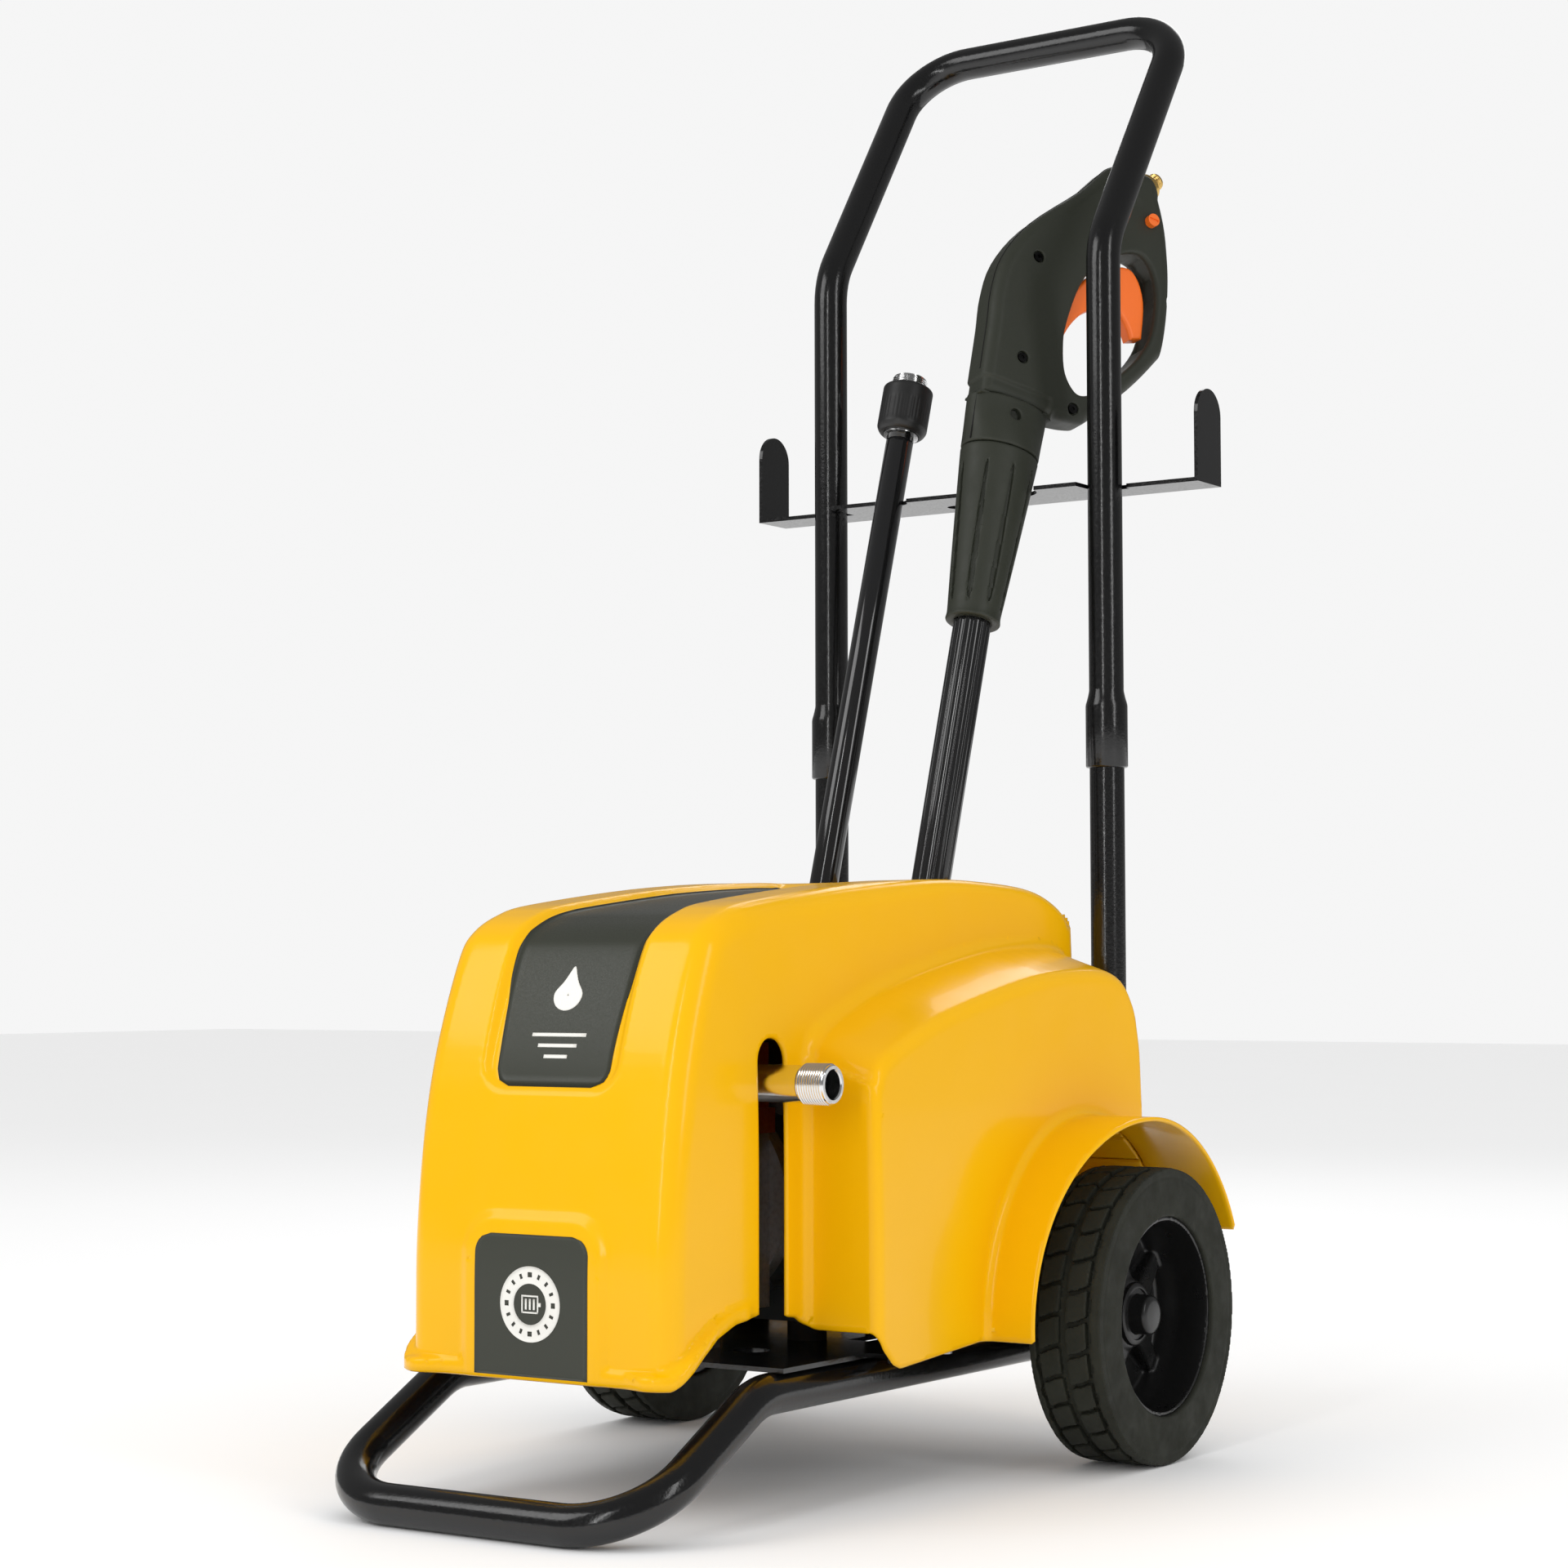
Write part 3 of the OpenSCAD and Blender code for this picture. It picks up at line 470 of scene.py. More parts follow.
SLOT_LOOKS = {
    "frame_paint": BLACK_COAT, "zinc": ZINC, "cover_yellow": YELLOW, "decal_grey": DECAL, "badge": PRINT,
    "motor_grey": MOTOR, "bell_alloy": ALLOY, "rotor_steel": ZINC, "dark_steel": DARK_STEEL,
    "pump_bronze": RED_ALLOY, "brass": BRASS, "bright_metal": CHROME, "rubber": SOFT_BLACK,
    "black_plastic": DARK_PLASTIC, "rim_plastic": RIM_BLACK,
    "bush_nylon": NYLON, "tyre": TYRE, "gun_plastic": GUN_BLACK, "lance_black": LANCE_BLACK, "orange": ORANGE,
    "switch_red": RED,
}


def dress_cad_nodes():
    """Every CAD node gets the look of its slot and crisp smooth shading."""
    for part in frame["record"]["subparts"]:
        obj = nodes[part["node"]]
        obj.data.materials.clear()
        obj.data.materials.append(SLOT_LOOKS[part["material_slot"]])
        obj.data.polygons.foreach_set("use_smooth", [True] * len(obj.data.polygons))
        crease(obj, 30)


# ---------------------------------------------------------------- cover

NOSE_SIDE = smooth_outline([
    (97, 20), (97, 20), (97, 348), (91, 369), (74, 382), (37, 392), (-30, 396), (-98, 396), (-196, 390),
    (-304, 378), (-336, 371), (-357, 361), (-369, 347), (-384, 310), (-396, 268), (-404, 220), (-409, 165),
    (-409.5, 110), (-409.5, 20), (-409.5, 20)], 5)
HIP_SIDE = smooth_outline([
    (97, 20), (97, 20), (97, 240), (93, 290), (84, 312), (66, 327), (30, 332), (-40, 329), (-110, 318),
    (-175, 304), (-225, 288), (-252, 276), (-262, 262), (-265, 235), (-265, 20), (-265, 20)], 5)


def rounded_reach(across, up, radius):
    """Distance outside a panel with one rounded end, from how far a point is past the arc's centre."""
    return np.hypot(np.maximum(across, 0), np.maximum(up, 0)) - radius


def bottom_edge(y):
    """Height of the cover's lower edge along its length."""
    return np.interp(y, [-409, -404, -384, -369, -345, -315, -276, -267, -256, -246, -238, -140],
                     [86, 89, 104, 113, 120, 123, 118, 112, 98, 89, 86, 93])


def cover_field(x, y, z):
    """The cover's outside, as one solid with its recess, pad and bottom flange."""
    ax = np.abs(x)
    width = NOSE_X - 1.5 * step((-330 - y) / 70) - 3.5 * step((z - 210) / 190)
    nose = both(outline(y, z, NOSE_SIDE), ax - width, 9 + 7.5 * step((-40 - y) / 160))
    lift = HIP_TILT * (HIP_X - ax)
    hips = both(outline(y, z - lift, HIP_SIDE), ax - HIP_X + 3 * step((z - 150) / 180), 7)
    body = np.maximum(either(nose, hips, 8), y - REAR_Y)
    wheel = np.maximum(both(np.hypot(y, z - AXLE_Z) - ARCH_R, ax - ARCH_X, 3), 150 - ax)
    body = either(body, wheel, 6)
    recess = step((6 - rounded_reach(ax - 34, 279 - z, 15)) / 9) * step((-52 - y) / 26)
    pad = step((12 - rounded_reach(ax - 30, z - 161, 17)) / 10) * step((-380 - y) / 12)
    flange = (2.4 + 4.8 * step((ax - 66) / 24) * step((-335 - y) / 55)) * step((-322 - y) / 12)
    flange = flange * step((10.5 - z + bottom_edge(y)) / 4)
    return body + recess * (4.2 + 1.4 * step((z - 270) / 80)) - np.maximum(3.2 * pad, flange)


def to_axis(x, y, z, place):
    """Distance from a leaning lance's centre line."""
    return np.hypot(x - place[0], (y - place[1]) * math.cos(LEAN) - (z - place[2]) * math.sin(LEAN))


def cover_keep(x, y, z):
    """Positive where the cover's wall stays: outside its openings."""
    ax = np.abs(x)
    keep = z - bottom_edge(y)
    lip = np.interp(y, [-140, -60, 0, 140], [192, 204, 211, 214])
    keep = np.minimum(keep, lip - ax)
    keep = np.minimum(keep, np.maximum(REAR_Y + 1.2 - y, ax - 152))
    keep = np.minimum(keep, np.maximum((z - AXLE_Z) * math.cos(ARCH_END) - y * math.sin(ARCH_END), 30 - y))
    keep = np.minimum(keep, np.maximum(z - 140, 88 - y))
    arch = ARCH_R + 5 - np.hypot(y, z - AXLE_Z)
    keep = np.minimum(keep, np.maximum(np.maximum(z - 174, 88 - y), np.maximum(103 - ax, arch)))
    slot = np.where(z < SLOT_Z, np.abs(y - SLOT_Y), np.hypot(y - SLOT_Y, z - SLOT_Z)) - SLOT_HALF
    keep = np.where(ax > 70, np.minimum(keep, slot), keep)
    for place in (GUN_PLACE, SPARE_PLACE):
        keep = np.where(z > 330, np.minimum(keep, to_axis(x, y, z, place) - POCKET_R), keep)
    across = np.abs((x - VENT_X) % VENT_PITCH - VENT_PITCH / 2) - VENT_HALF
    vent = np.maximum(across, np.maximum(np.abs(z - VENT_Z) - VENT_REACH, ax - ROW_HALF))
    switch = np.maximum(np.abs(x - SWITCH_X) - SWITCH_WIDE, np.abs(z - SWITCH_Z) - SWITCH_HIGH)
    return np.where(y > 80, np.minimum(keep, np.minimum(vent, switch)), keep)


def liner_field(x, y, z):
    """The cup that closes a wheel arch off from the inside of the cover."""
    radius = np.hypot(y, z - AXLE_Z)
    cup = np.maximum(radius - ARCH_R + 0.2, np.abs(x - 129) - 27.8)
    cup = np.maximum(cup, -np.maximum(radius - ARCH_R + WALL, NOSE_X - x))
    return np.maximum(cup, np.maximum(y - 93.8, 114 - z))


def build_cover():
    cell = 2.4
    parts = [shell(cover_field, cover_keep, (-218, -422, 76), (218, 142, 404), cell, WALL)]
    for side, low_x, high_x in ((1, 99, 160), (-1, -160, -99)):
        parts.append(surface(lambda x, y, z, side=side: liner_field(side * x, y, z),
                             (low_x, -137, 112), (high_x, 99, 237), 2.4))
    cover = make("cover_shell", *joined(parts), "frame", YELLOW, "cover_yellow")
    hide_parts("cover")


def surface_sheet(rows, columns, spot, level, ring=False):
    """A grid of points laid on the cover at a small height above it; a ring's ends meet."""
    u, v = np.meshgrid(np.linspace(-1, 1, columns, endpoint=not ring), np.linspace(0, 1, rows))
    points = onto(cover_field, spot(u.ravel(), v.ravel()), 14, 6, level)
    faces = [(r * columns + c, r * columns + (c + 1) % columns, (r + 1) * columns + (c + 1) % columns,
              (r + 1) * columns + c) for r in range(rows - 1) for c in range(columns - (not ring))]
    return points, faces


def thick_sheet(part, thickness):
    """A sheet given a thickness away from the cover."""
    points, faces = part
    faces = np.array(faces)
    n = len(points)
    normal = unit(slope(cover_field, points, 0.05)[1])
    sides = [(b, a, a + n, b + n) for a, b in open_edges(faces)]
    points = np.concatenate([points, points + normal * thickness])
    return points, np.concatenate([faces[:, ::-1], faces + n, sides])


# the films lie on the cover and the prints on the films; points in front of the cover are drawn onto it
FILM_LEVEL, FILM_THICK = 0.05, 0.35
PRINT_LEVEL, PRINT_THICK = 0.42, 0.2
AHEAD_Y = -413
BADGE_Z = 131.5
TOP_LINE = np.array([(-397, 264.5), (-391, 287), (-376, 330), (-366, 350), (-354, 362), (-334, 371), (-304, 378),
                     (-196, 390), (-98, 396), (-72, 396)], float)


def along_top(v):
    """Side-view place on the front and top, v from 0 at the lower front end to 1 at the back."""
    run = np.concatenate([[0], np.cumsum(np.hypot(*np.diff(TOP_LINE, axis=0).T))])
    s = v * run[-1]
    return np.interp(s, run, TOP_LINE[:, 0]), np.interp(s, run, TOP_LINE[:, 1]), s


def rounded_half(half, from_end, radius=12):
    """Half width of a film near an end with rounded corners."""
    return half - radius + np.sqrt(radius ** 2 - np.clip(radius - from_end, 0, radius) ** 2)


def upper_spot(u, v):
    y, z, s = along_top(v)
    half = rounded_half(44, s) + 3.5 * step((s - 10) / 80)
    return np.stack([u * half, y, z], 1)


def lower_spot(u, v):
    drop = v * 86
    return np.stack([u * rounded_half(43.5, drop), np.full_like(u, AHEAD_Y), 173.5 - drop], 1)


def badge_spot(u, v):
    a = u * math.pi
    r = 12.5 + 10.5 * v
    return np.stack([r * np.sin(a), np.full_like(a, AHEAD_Y), BADGE_Z + r * np.cos(a)], 1)


def build_decals():
    sheet = thick_sheet(surface_sheet(120, 25, upper_spot, FILM_LEVEL), FILM_THICK)
    upper = make("upper_decal_film", *sheet, "frame", DECAL, "decal_grey")
    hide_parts("upper_decal")
    sheet = thick_sheet(surface_sheet(40, 25, lower_spot, FILM_LEVEL), FILM_THICK)
    lower = make("lower_decal_film", *sheet, "frame", DECAL, "decal_grey")
    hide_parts("lower_decal")
    # a plain ring badge with tick marks round it, in place of printed words
    ring = thick_sheet(surface_sheet(5, 96, badge_spot, PRINT_LEVEL, True), 0.25)
    badge = make("badge_ring", *ring, "frame", PRINT, "badge")
    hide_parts("round_badge")
    ticks = []
    for k in range(16):
        a = k * math.pi / 8

        def tick(u, v, a=a):
            x = u * (0.9 if k % 4 else 1.6)
            r = 16.4 + 3.0 * v
            return np.stack([r * math.sin(a) + x * math.cos(a), np.full_like(u, AHEAD_Y),
                             BADGE_Z + r * math.cos(a) - x * math.sin(a)], 1)
        ticks.append(thick_sheet(surface_sheet(3, 3, tick, 0.7), 0.1))
    make("badge_ticks", *joined(ticks), "frame", DECAL, "decal_grey")
    # a generic motor sign: a ribbed box
    sign = []
    for low_x, high_x, low_z, high_z in [(-6.5, 6.5, -5.5, -4.5), (-6.5, 6.5, 4.5, 5.5), (-6.5, -5.5, -5.5, 5.5),
                                         (5.5, 6.5, -5.5, 5.5), (-3.8, -2.4, -3.3, 3.3), (-0.7, 0.7, -3.3, 3.3),
                                         (2.4, 3.8, -3.3, 3.3), (6.5, 8.4, -1.2, 1.2)]:
        def bar(u, v, b=(low_x, high_x, low_z, high_z)):
            return np.stack([(b[0] + b[1]) / 2 + u * (b[1] - b[0]) / 2, np.full_like(u, AHEAD_Y),
                             BADGE_Z + b[3] + v * (b[2] - b[3])], 1)
        sign.append(thick_sheet(surface_sheet(3, 3, bar, PRINT_LEVEL), PRINT_THICK))
    make("badge_sign", *joined(sign), "frame", PRINT, "badge")
    # a generic water drop over three spray lines on the upper film
    marks = []

    def drop(u, v):
        a = u * math.pi
        r = 11 * (0.04 + 0.96 * v)
        tip = step(1 - np.abs(u) / 0.5)
        return np.stack([r * np.sin(a) * (1 - 0.45 * tip), np.full_like(a, -378),
                         320 + r * (np.cos(a) + 0.95 * tip ** 3)], 1)
    marks.append(thick_sheet(surface_sheet(12, 48, drop, PRINT_LEVEL, True), PRINT_THICK))
    for row, half in enumerate((21, 15, 9)):
        def line(u, v, row=row, half=half):
            return np.stack([u * half, np.full_like(u, -394), 299 - 7.5 * row - 2.4 * v], 1)
        marks.append(thick_sheet(surface_sheet(3, 9, line, PRINT_LEVEL), PRINT_THICK))
    make("drop_mark", *joined(marks), "frame", PRINT, "badge")


# ---------------------------------------------------------------- frame tubes

def build_tubes():
    top = JOINT_Z + JOINT_LEN
    low = [(-RAIL_X, UPRIGHT_Y, top - 12), (-RAIL_X, UPRIGHT_Y, RAIL_Z), (-RAIL_X, -345, RAIL_Z),
           (-RAIL_X, FRONT_Y, TUBE_R)]
    low += [(-x, y, z) for x, y, z in low[::-1]]
    lower = make("frame_tube", *sweep(rounded_path(low, [0, 90, 60, 55, 55, 60, 90, 0]), TUBE_R), "frame",
                 BLACK_COAT, "frame_paint")
    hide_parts("lower_frame")
    high = [(-RAIL_X, UPRIGHT_Y, JOINT_Z + 2), (-RAIL_X, UPRIGHT_Y, KNEE_Z), (-RAIL_X, HANDLE_Y, HANDLE_Z)]
    high += [(-x, y, z) for x, y, z in high[::-1]]
    parts = [sweep(rounded_path(high, [0, 60, 48, 48, 60, 0]), TUBE_R)]
    # the swaged end that slides over the lower tube
    r, w = JOINT_R, JOINT_LEN
    sleeve = [(TUBE_R, 0.4), (r - 1.2, 0), (r - 0.4, 0.3), (r, 1.2), (r, w - 2), (r - 0.3, w), (r - 1.2, w + 3),
              (TUBE_R + 0.7, w + 6), (TUBE_R + 0.1, w + 9), (TUBE_R - 0.2, w + 12)]
    for side in (-1, 1):
        parts.append(moved(revolve(sleeve, 40), Matrix.Translation((side * RAIL_X, UPRIGHT_Y, JOINT_Z))))
    upper = make("handle_tube", *joined(parts), "frame", BLACK_COAT, "frame_paint")
    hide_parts("handle_frame")
    for obj in (lower, upper):
        crease(obj, 50)


# ---------------------------------------------------------------- wheels

BLOCKS = 30


def tyre_field(x, y, z):
    """A tyre about X with two staggered rows of blocks and a ribbed shoulder on each side."""
    radius = np.hypot(y, z)
    turn = np.arctan2(z, y) / (2 * math.pi) * BLOCKS
    pitch = 2 * math.pi * WHEEL_R / BLOCKS
    ax = np.abs(x)
    crown = WHEEL_R - 0.8 * step((ax - 21) / 5)
    carcass = both(radius - crown + 3.8, ax - TYRE_HALF + 0.3 + 0.8 * step((radius - 92) / 6), 1.5)
    block = None
    for centre, shift in ((-11.4, 0.0), (8.8, 0.5)):
        along = ((turn + shift + 0.016 * x + 0.5) % 1 - 0.5) * pitch + 0.3 * np.sin(x * 0.5)
        across = np.abs(x - centre) - 7.5
        one = both(np.abs(along) - pitch / 2 + 1.6, across, 1.2)
        block = one if block is None else np.minimum(block, one)
    notch = np.abs((turn + 0.25) % 1 - 0.5)
    rib = both(np.where(x > 0, 19.2, 21.4) + 1.2 * step((0.2 - notch) * 12) - ax, ax - TYRE_HALF + 0.4, 1)
    tread = both(radius - crown, np.minimum(block, rib), 0.7)
    solid = both(np.minimum(carcass, tread), RIM_R - radius, 1.5)
    return np.maximum(solid, ax - TYRE_HALF + 0.5 - 0.5 * step(np.abs(radius - 93.5) / 1.4 - 0.4))


def rim_field(x, y, z):
    """A deep-dish rim about X, outer face towards +X, with five broad spokes."""
    radius = np.hypot(y, z)
    depth = step((4 - x) / 18)
    barrel = both(np.abs(radius - 65.6 + 1.6 * depth) - 1.4 - 1.6 * depth, np.abs(x - 0.3) - 23.9, 1)
    disc = both(radius - 63, np.abs(x + 18) - 3, 1)
    boss = both(radius - 23.5, np.abs(x + 13.7) - 13.3, 2)
    solid = either(either(barrel, disc, 3), boss, 4)
    fifth = 2 * math.pi / 5
    angle = (np.arctan2(z, y) + math.radians(40) + fifth / 2) % fifth - fifth / 2
    across = np.abs(radius * np.sin(angle))
    top = -1 - 8 * np.clip((radius - 20) / 44, 0, 1)
    half = 9.5 - 3 * np.clip((radius - 20) / 44, 0, 1)
    web = both(both(across - half, x - top, 2.5), radius - 63, 1)
    solid = either(solid, np.maximum(web, 14 - radius), 2.5)
    solid = np.maximum(solid, 12.5 - radius)
    return np.maximum(solid, -np.maximum(radius - 18, -x - 6.5))


def cap_part():
    """Ringed hub cap with a domed middle, its foot at height 0."""
    profile = [(0.01, 16), (9, 15.9), (11.6, 15.4), (13, 14.2), (13.4, 12.8), (13.5, 4.4), (14, 3.2), (17, 2.8),
               (17.6, 4), (20.2, 4), (21.2, 3.2), (21.5, 1.6), (21.5, 0), (0.01, 0)]
    return revolve(profile, 64)


def build_wheels():
    cell = 1.3
    tyre = surface(tyre_field, (-TYRE_HALF - 1, -WHEEL_R - 2, -WHEEL_R - 2),
                   (TYRE_HALF + 1, WHEEL_R + 2, WHEEL_R + 2), cell)
    rim = surface(rim_field, (-25, -69, -69), (26, 69, 69), cell)
    for side, name in ((1, "right"), (-1, "left")):
        turn = Matrix.Translation((side * TYRE_MID, 0, AXLE_Z))
        if side < 0:
            turn = turn @ Matrix.Rotation(math.pi, 4, "Z")
        tread = make(name + "_tyre_tread", *moved(tyre, turn), name + "_wheel", TYRE, "tyre")
        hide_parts(name + "_tyre")
        crease(tread, 45)
        spokes = make(name + "_rim_spokes", *moved(rim, turn), name + "_wheel", RIM_BLACK, "rim_plastic")
        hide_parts(name + "_rim")
        crease(spokes, 45)
        axis = Matrix.Rotation(math.pi / 2, 4, "Y")
        cap = moved(cap_part(), turn @ Matrix.Translation((CAP_FOOT_X - TYRE_MID, 0, 0)) @ axis)
        dome = make(name + "_hub_cap", *cap, name + "_wheel", RIM_BLACK, "rim_plastic")
        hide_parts(name + "_cap")
        crease(dome, 40)


# ---------------------------------------------------------------- gun and lances

def leaning(place, turn=0.0):
    return Matrix.Translation(place) @ Matrix.Rotation(-LEAN, 4, "X") @ Matrix.Rotation(turn, 4, "Z")


GUN_OUTLINE = smooth_outline([
    (-31, 71), (-31, 71), (-31.5, 100), (-32, 130), (-33, 157), (-28.5, 187), (-10, 222), (27, 264), (40, 282),
    (50, 295), (64, 301.5), (84, 301.5), (92, 297), (106, 268), (114, 240), (118.5, 216), (121, 188),
    (120.5, 162), (116, 151), (97, 122), (66, 84), (56, 77), (34, 73), (34, 71), (34, 71)], 4)
GUN_GAP = smooth_outline([
    (31, 150), (31.5, 130), (36.5, 110), (47, 98.5), (57, 99.5), (66, 107), (83, 126), (99, 149), (107, 172),
    (106, 204), (96, 226), (80, 231), (52, 210), (38, 186)], 4)
TRIGGER_ROOM = np.array([
    (15.5, 126), (24, 120.5), (34, 124), (108, 160), (108, 206), (104, 222), (92, 232), (62, 231), (40, 215),
    (25.5, 186), (16, 150)], float)
TRIGGER_OUTLINE = smooth_outline([
    (18, 130), (22, 124.5), (28, 124.5), (32, 133), (38, 152), (46, 166), (56, 176), (66, 182), (76, 182.5),
    (86, 175), (93, 163.5), (93, 163.5), (103, 167.5), (103, 167.5), (100, 198), (90, 217), (77, 220.5),
    (54, 207), (36, 181), (23, 149)], 4)


def gun_body_field(x, y, z):
    ay = np.abs(y)
    half = 16.8 - 3.5 * step((x - 40) / 50)
    body = both(outline(x, z, GUN_OUTLINE), ay - half, 9)
    body = both(body, -outline(x, z, GUN_GAP), 3.5)
    room = both(np.maximum(outline(x, z, TRIGGER_ROOM), 12 - x), ay - 7.6, 1)
    body = np.maximum(body, -room)
    # waist where the collar starts
    body = body + 2 * step((z - 73) / 1) * step((87 - z) / 3) * step((30 - x) / 5)
    for cx, cz in ((-2, 194), (-2, 109), (47, 84)):
        hole = both(np.hypot(x - cx, z - cz) - 4.7, 13.8 + y, 0.6)
        body = both(body, -hole, 0.8)
    notch = np.hypot(x - 121.5, z - 205) - 4.5
    body = both(body, -notch, 0.8)
    along = (x - INLET_X) * math.sin(INLET_TURN) + (z - INLET_Z) * math.cos(INLET_TURN)
    across = (x - INLET_X) * math.cos(INLET_TURN) - (z - INLET_Z) * math.sin(INLET_TURN)
    stub = both(np.hypot(across, y) - 12.5, np.abs(along) - 11.5, 2)
    body = either(body, stub, 4)
    hole = np.hypot(across, y) - np.where(along > 11.8, 11.6, 8.6)
    return np.maximum(body, -np.maximum(hole, -11 - along))


def collar_field(x, y, z):
    s = step((z - 33) / 41)
    wide, deep = 30.6 + 2.6 * s, 25.5 - 6.5 * s
    ring = (np.sqrt((x / wide) ** 2 + (y / deep) ** 2) - 1) * deep
    body = both(ring, np.abs(z - 53.5) - 20.3, 1.6)
    hole = both(np.hypot(x + 2, z - 60) - 4.6, y + 15, 0.6)
    return both(body, -hole, 1)


def sleeve_field(x, y, z):
    s = np.clip((z + 103) / 136, 0, 1)
    squash = 1 + 0.19 * s * s
    radius = np.hypot(x, y * squash)
    size = 19.3 + 11.2 * s + 1.2 * np.exp(-((z + 103) / 4) ** 2)
    body = both(radius - size, np.abs(z + 35) - 67.6, 1.8)
    eighth = math.pi / 4
    across = ((np.arctan2(y, x) + eighth / 2) % eighth - eighth / 2) * size
    along = np.maximum(np.abs(z + 32) - 40, 0)
    width = 2.2 * (1 - 0.45 * step((z + 63) / 90))
    groove = np.hypot(across, along * 0.12) - width
    body = both(body, -both(groove, size - 2.4 - radius, 0.4), 0.7)
    return np.maximum(body, GUN_TUBE_R - radius)


def trigger_field(x, y, z):
    body = both(outline(x, z, TRIGGER_OUTLINE), np.abs(y) - 6.6, 3)
    return np.maximum(body, 2.6 - np.hypot(x - 24, z - 130))


def fluted_tube(radius, flutes, low, high, sides=144):
    """A tube about Z with shallow lengthwise flutes."""
    angle = np.arange(sides) * 2 * math.pi / sides
    wave = radius - 0.75 * np.clip(np.cos(angle * flutes) * 1.6, 0, 1)
    points = np.concatenate([np.stack([wave * k * np.cos(angle), wave * k * np.sin(angle), np.full(sides, h)], 1)
                             for k, h in ((0.7, low), (0.96, low), (1, low + 1), (1, high))])
    return points, ring_faces(4, sides)


def thread(radius, depth, pitch, low, turns):
    """Profile of a screw thread's crests between two heights."""
    out = []
    for k in range(turns):
        out += [(radius - depth, low + pitch * k), (radius, low + pitch * (k + 0.4)),
                (radius, low + pitch * (k + 0.6)), (radius - depth, low + pitch * (k + 1))]
    return out


def build_gun():
    place = leaning(GUN_PLACE, GUN_TURN)
    cell = 1.1

    def piece(name, field, low, high, body, look, slot_name, replaced):
        obj = make(name, *moved(surface(field, low, high, cell), place), body, look, slot_name)
        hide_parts(replaced)
        return crease(obj, 50)

    piece("gun_shell", gun_body_field, (-40, -20, 66), (128, 20, 306), "gun", GUN_BLACK, "gun_plastic",
          "gun_body")
    piece("gun_neck", collar_field, (-38, -28, 31), (38, 28, 76), "gun", GUN_BLACK, "gun_plastic",
          "gun_collar")
    piece("gun_grooved_sleeve", sleeve_field, (-33, -33, -105), (33, 33, 35), "gun", GUN_BLACK, "gun_plastic",
          "gun_sleeve")
    piece("trigger_lever", trigger_field, (14, -9, 120), (108, 9, 228), "trigger", ORANGE, "orange", "trigger")
    # a thin near-black line along the parting line of the two halves: painted shade of the gap between them
    back = sorted(((x, -7, z) for x, z in GUN_OUTLINE if z > 88 and x < max(0, z - 225)), key=lambda p: p[2])
    seam = joined([sweep([(-30.0, -7, 35), (-30.3, -7, 72)], 0.5, 8), sweep(back, 0.5, 8)])
    make("gun_seam_painted_shade", *moved(seam, place), "gun", SEAM_SHADE, "gun_plastic")
    tube = make("gun_lance_tube", *moved(fluted_tube(GUN_TUBE_R, 12, -385, -60), place), "gun", LANCE_BLACK,
                "lance_black")
    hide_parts("gun_tube")
    crease(tube, 50)
    nipple = [(3.4, -10), (8, -10), (8, 9.6), (10.4, 10), (10.8, 10.4), (10.8, 16), (10.4, 16.6), (6.2, 17),
              *thread(7, 0.6, 1.5, 17.5, 5), (6.3, 26), (3.4, 26), (3.4, 2)]
    tilt = place @ Matrix.Translation((INLET_X, 0, INLET_Z)) @ Matrix.Rotation(INLET_TURN, 4, "Y")
    inlet = make("gun_brass_nipple", *moved(revolve(nipple, 48), tilt), "gun", BRASS, "brass")
    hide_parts("gun_inlet")
    crease(inlet, 30)


def build_spare():
    place = leaning(SPARE_PLACE)
    r = SPARE_TUBE_R
    profile = [(5, -366), (r - 0.6, -366), (r, -365), (r, 62), (r - 0.6, 63), (5, 63)]
    tube = make("spare_lance_tube", *moved(revolve(profile, 64), place), "spare_lance", LANCE_BLACK,
                "lance_black")
    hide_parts("spare_tube")
    crease(tube, 40)
    ribs = 40

    def nut_field(x, y, z):
        radius = np.hypot(x, y)
        wave = 0.3 * step(np.cos(np.arctan2(y, x) * ribs)) * step((z - 70) / 4) * step((92 - z) / 4)
        size = 19.2 - 2.6 * step((70 - z) / 7) - wave
        body = both(radius - size, np.abs(z - 83.5) - 19.3, 2.2)
        return np.maximum(body, 13.6 - radius)

    nut = surface(nut_field, (-21, -21, 62), (21, 21, 105), 0.9)
    nut = make("spare_lance_nut", *moved(nut, place), "spare_nut", DARK_PLASTIC, "black_plastic")
    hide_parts("spare_nut")
    crease(nut, 50)
    profile = [(5, 63), (13.4, 63), (13.4, 104.5), *thread(13.4, 0.8, 1.5, 104.5, 4), (12.6, 111.4), (11.6, 112),
               (8.4, 112), (7.6, 111), (7.2, 104), (5, 104)]
    nipple = make("spare_lance_nipple", *moved(revolve(profile, 64), place), "spare_lance", CHROME, "zinc")
    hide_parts("spare_nipple")
    crease(nipple, 30)


# ---------------------------------------------------------------- water connection

def build_inlet():
    """Bright pipe with a threaded end, its bore open."""
    length = PIPE_END - PIPE_START
    profile = [(9, 0), (15, 0), (15, 9), (14.2, 10), (11.75, 10), (11.75, length - 21), (12.4, length - 20),
               *thread(13.1, 0.8, 1.8, length - 19.6, 10), (12.2, length - 0.6), (11.6, length), (9.6, length),
               (9, length - 1), (9, 0)]
    turn = Matrix.Translation((PIPE_START, PIPE_Y, PIPE_Z)) @ Matrix.Rotation(math.pi / 2, 4, "Y")
    pipe = make("inlet_pipe_thread", *moved(revolve(profile, 64), turn), "frame", CHROME, "bright_metal")
    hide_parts("inlet_pipe")
    crease(pipe, 30)


# ---------------------------------------------------------------- camera, light and floor

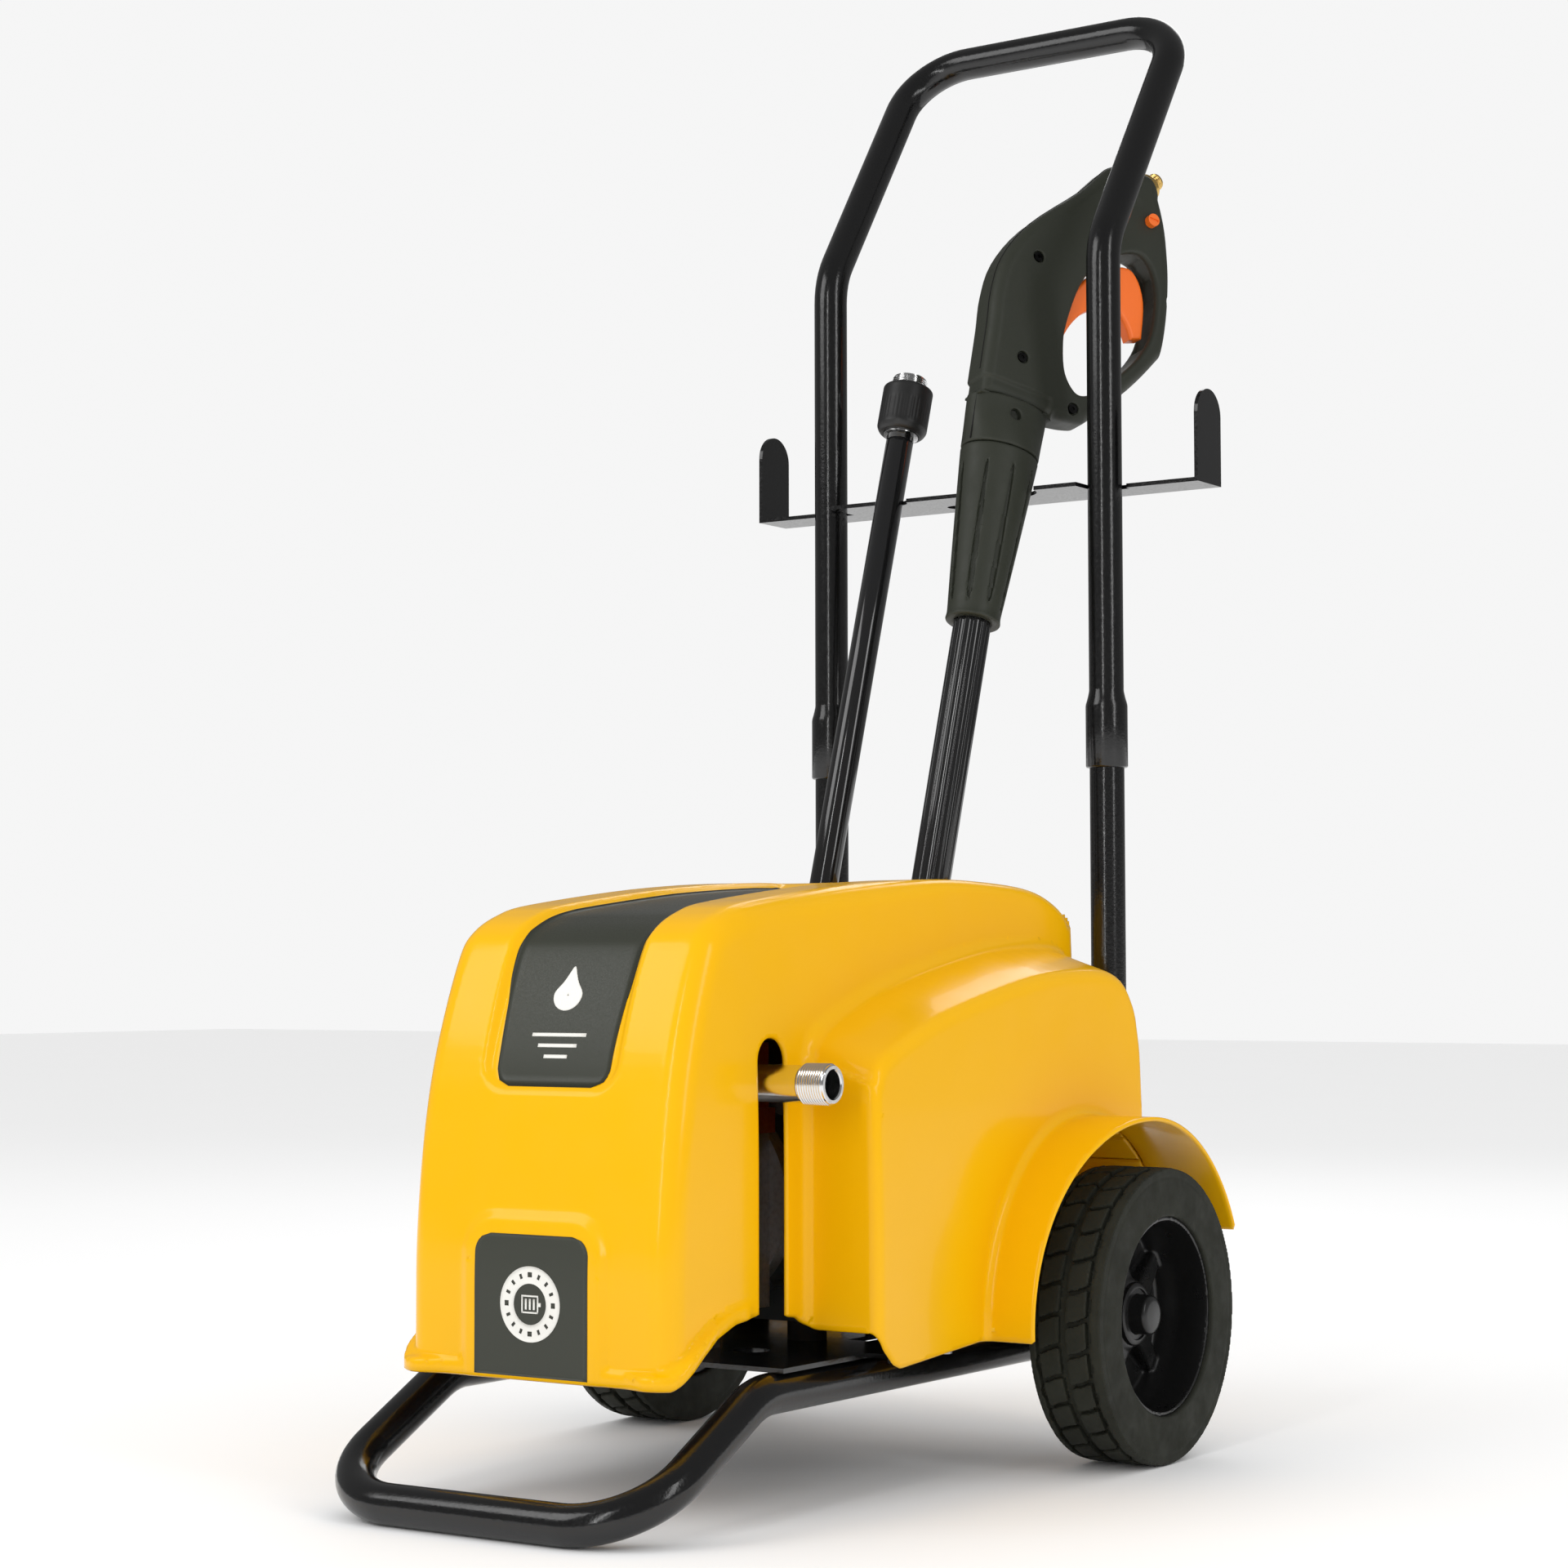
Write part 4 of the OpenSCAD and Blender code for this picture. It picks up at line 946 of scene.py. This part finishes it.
def build_camera():
    data = bpy.data.cameras.new("camera")
    data.lens, data.sensor_width = 72.56, 36
    camera = bpy.data.objects.new("camera", data)
    bpy.context.scene.collection.objects.link(camera)
    camera.location = (1.208, -1.9389 + AXLE_Y, 0.3334)
    camera.rotation_euler = Euler((math.radians(93.4), math.radians(0.1), math.radians(33.8)))
    bpy.context.scene.camera = camera


def area_light(name, place, aim, size, power):
    data = bpy.data.lights.new(name, "AREA")
    data.shape = "RECTANGLE"
    data.size, data.size_y = size
    data.energy = power
    light = bpy.data.objects.new(name, data)
    bpy.context.scene.collection.objects.link(light)
    light.location = place
    light.rotation_euler = (Vector(aim) - Vector(place)).to_track_quat("-Z", "Y").to_euler()


# strength of the white room as it lights the object, and as it shows in glossy reflections
ROOM_LIGHT, ROOM_MIRRORED = 0.92, 0.22


def build_stage():
    world = bpy.data.worlds.new("studio")
    bpy.context.scene.world = world
    world.use_nodes = True
    tree = world.node_tree
    room = tree.nodes["Background"]
    room.inputs["Color"].default_value = (1, 1, 1, 1)
    room.inputs["Strength"].default_value = ROOM_LIGHT
    mirrored = tree.nodes.new("ShaderNodeBackground")
    mirrored.inputs["Color"].default_value = (1, 1, 1, 1)
    mirrored.inputs["Strength"].default_value = ROOM_MIRRORED
    mix = tree.nodes.new("ShaderNodeMixShader")
    tree.links.new(tree.nodes.new("ShaderNodeLightPath").outputs["Is Glossy Ray"], mix.inputs[0])
    tree.links.new(room.outputs[0], mix.inputs[1])
    tree.links.new(mirrored.outputs[0], mix.inputs[2])
    tree.links.new(mix.outputs[0], tree.nodes["World Output"].inputs["Surface"])
    bpy.context.scene.view_settings.view_transform = "Standard"
    mesh = bpy.data.meshes.new("floor")
    size = 12
    corners = [(-size, -size, 0), (size, -size, 0), (size, size, 0), (-size, size, 0)]
    mesh.from_pydata(corners, [], [(0, 1, 2, 3)])
    floor = bpy.data.objects.new("floor", mesh)
    bpy.context.scene.collection.objects.link(floor)
    look = Nodes("floor", (0.96, 0.96, 0.96), 0.7, spec=0.1)
    look.tint(look.noise(3, 2), (0.955, 0.955, 0.955), (0.965, 0.965, 0.965))
    mesh.materials.append(look.material)
    area_light("key", (-1.6, -2.2, 2.2), (0, 0, 0.4), (1.6, 1.6), 22)
    area_light("side", (2.6, -0.6, 1.5), (0, 0, 0.5), (0.5, 2.0), 12)
    area_light("strip", (0.4, -2.6, 1.2), (0, 0, 0.6), (0.18, 1.8), 9)
    area_light("back", (-0.8, 2.4, 2.2), (0, 0, 0.5), (1.4, 1.2), 10)


build_camera()
dress_cad_nodes()
build_cover()
build_decals()
build_tubes()
build_wheels()
build_gun()
build_spare()
build_inlet()
build_stage()
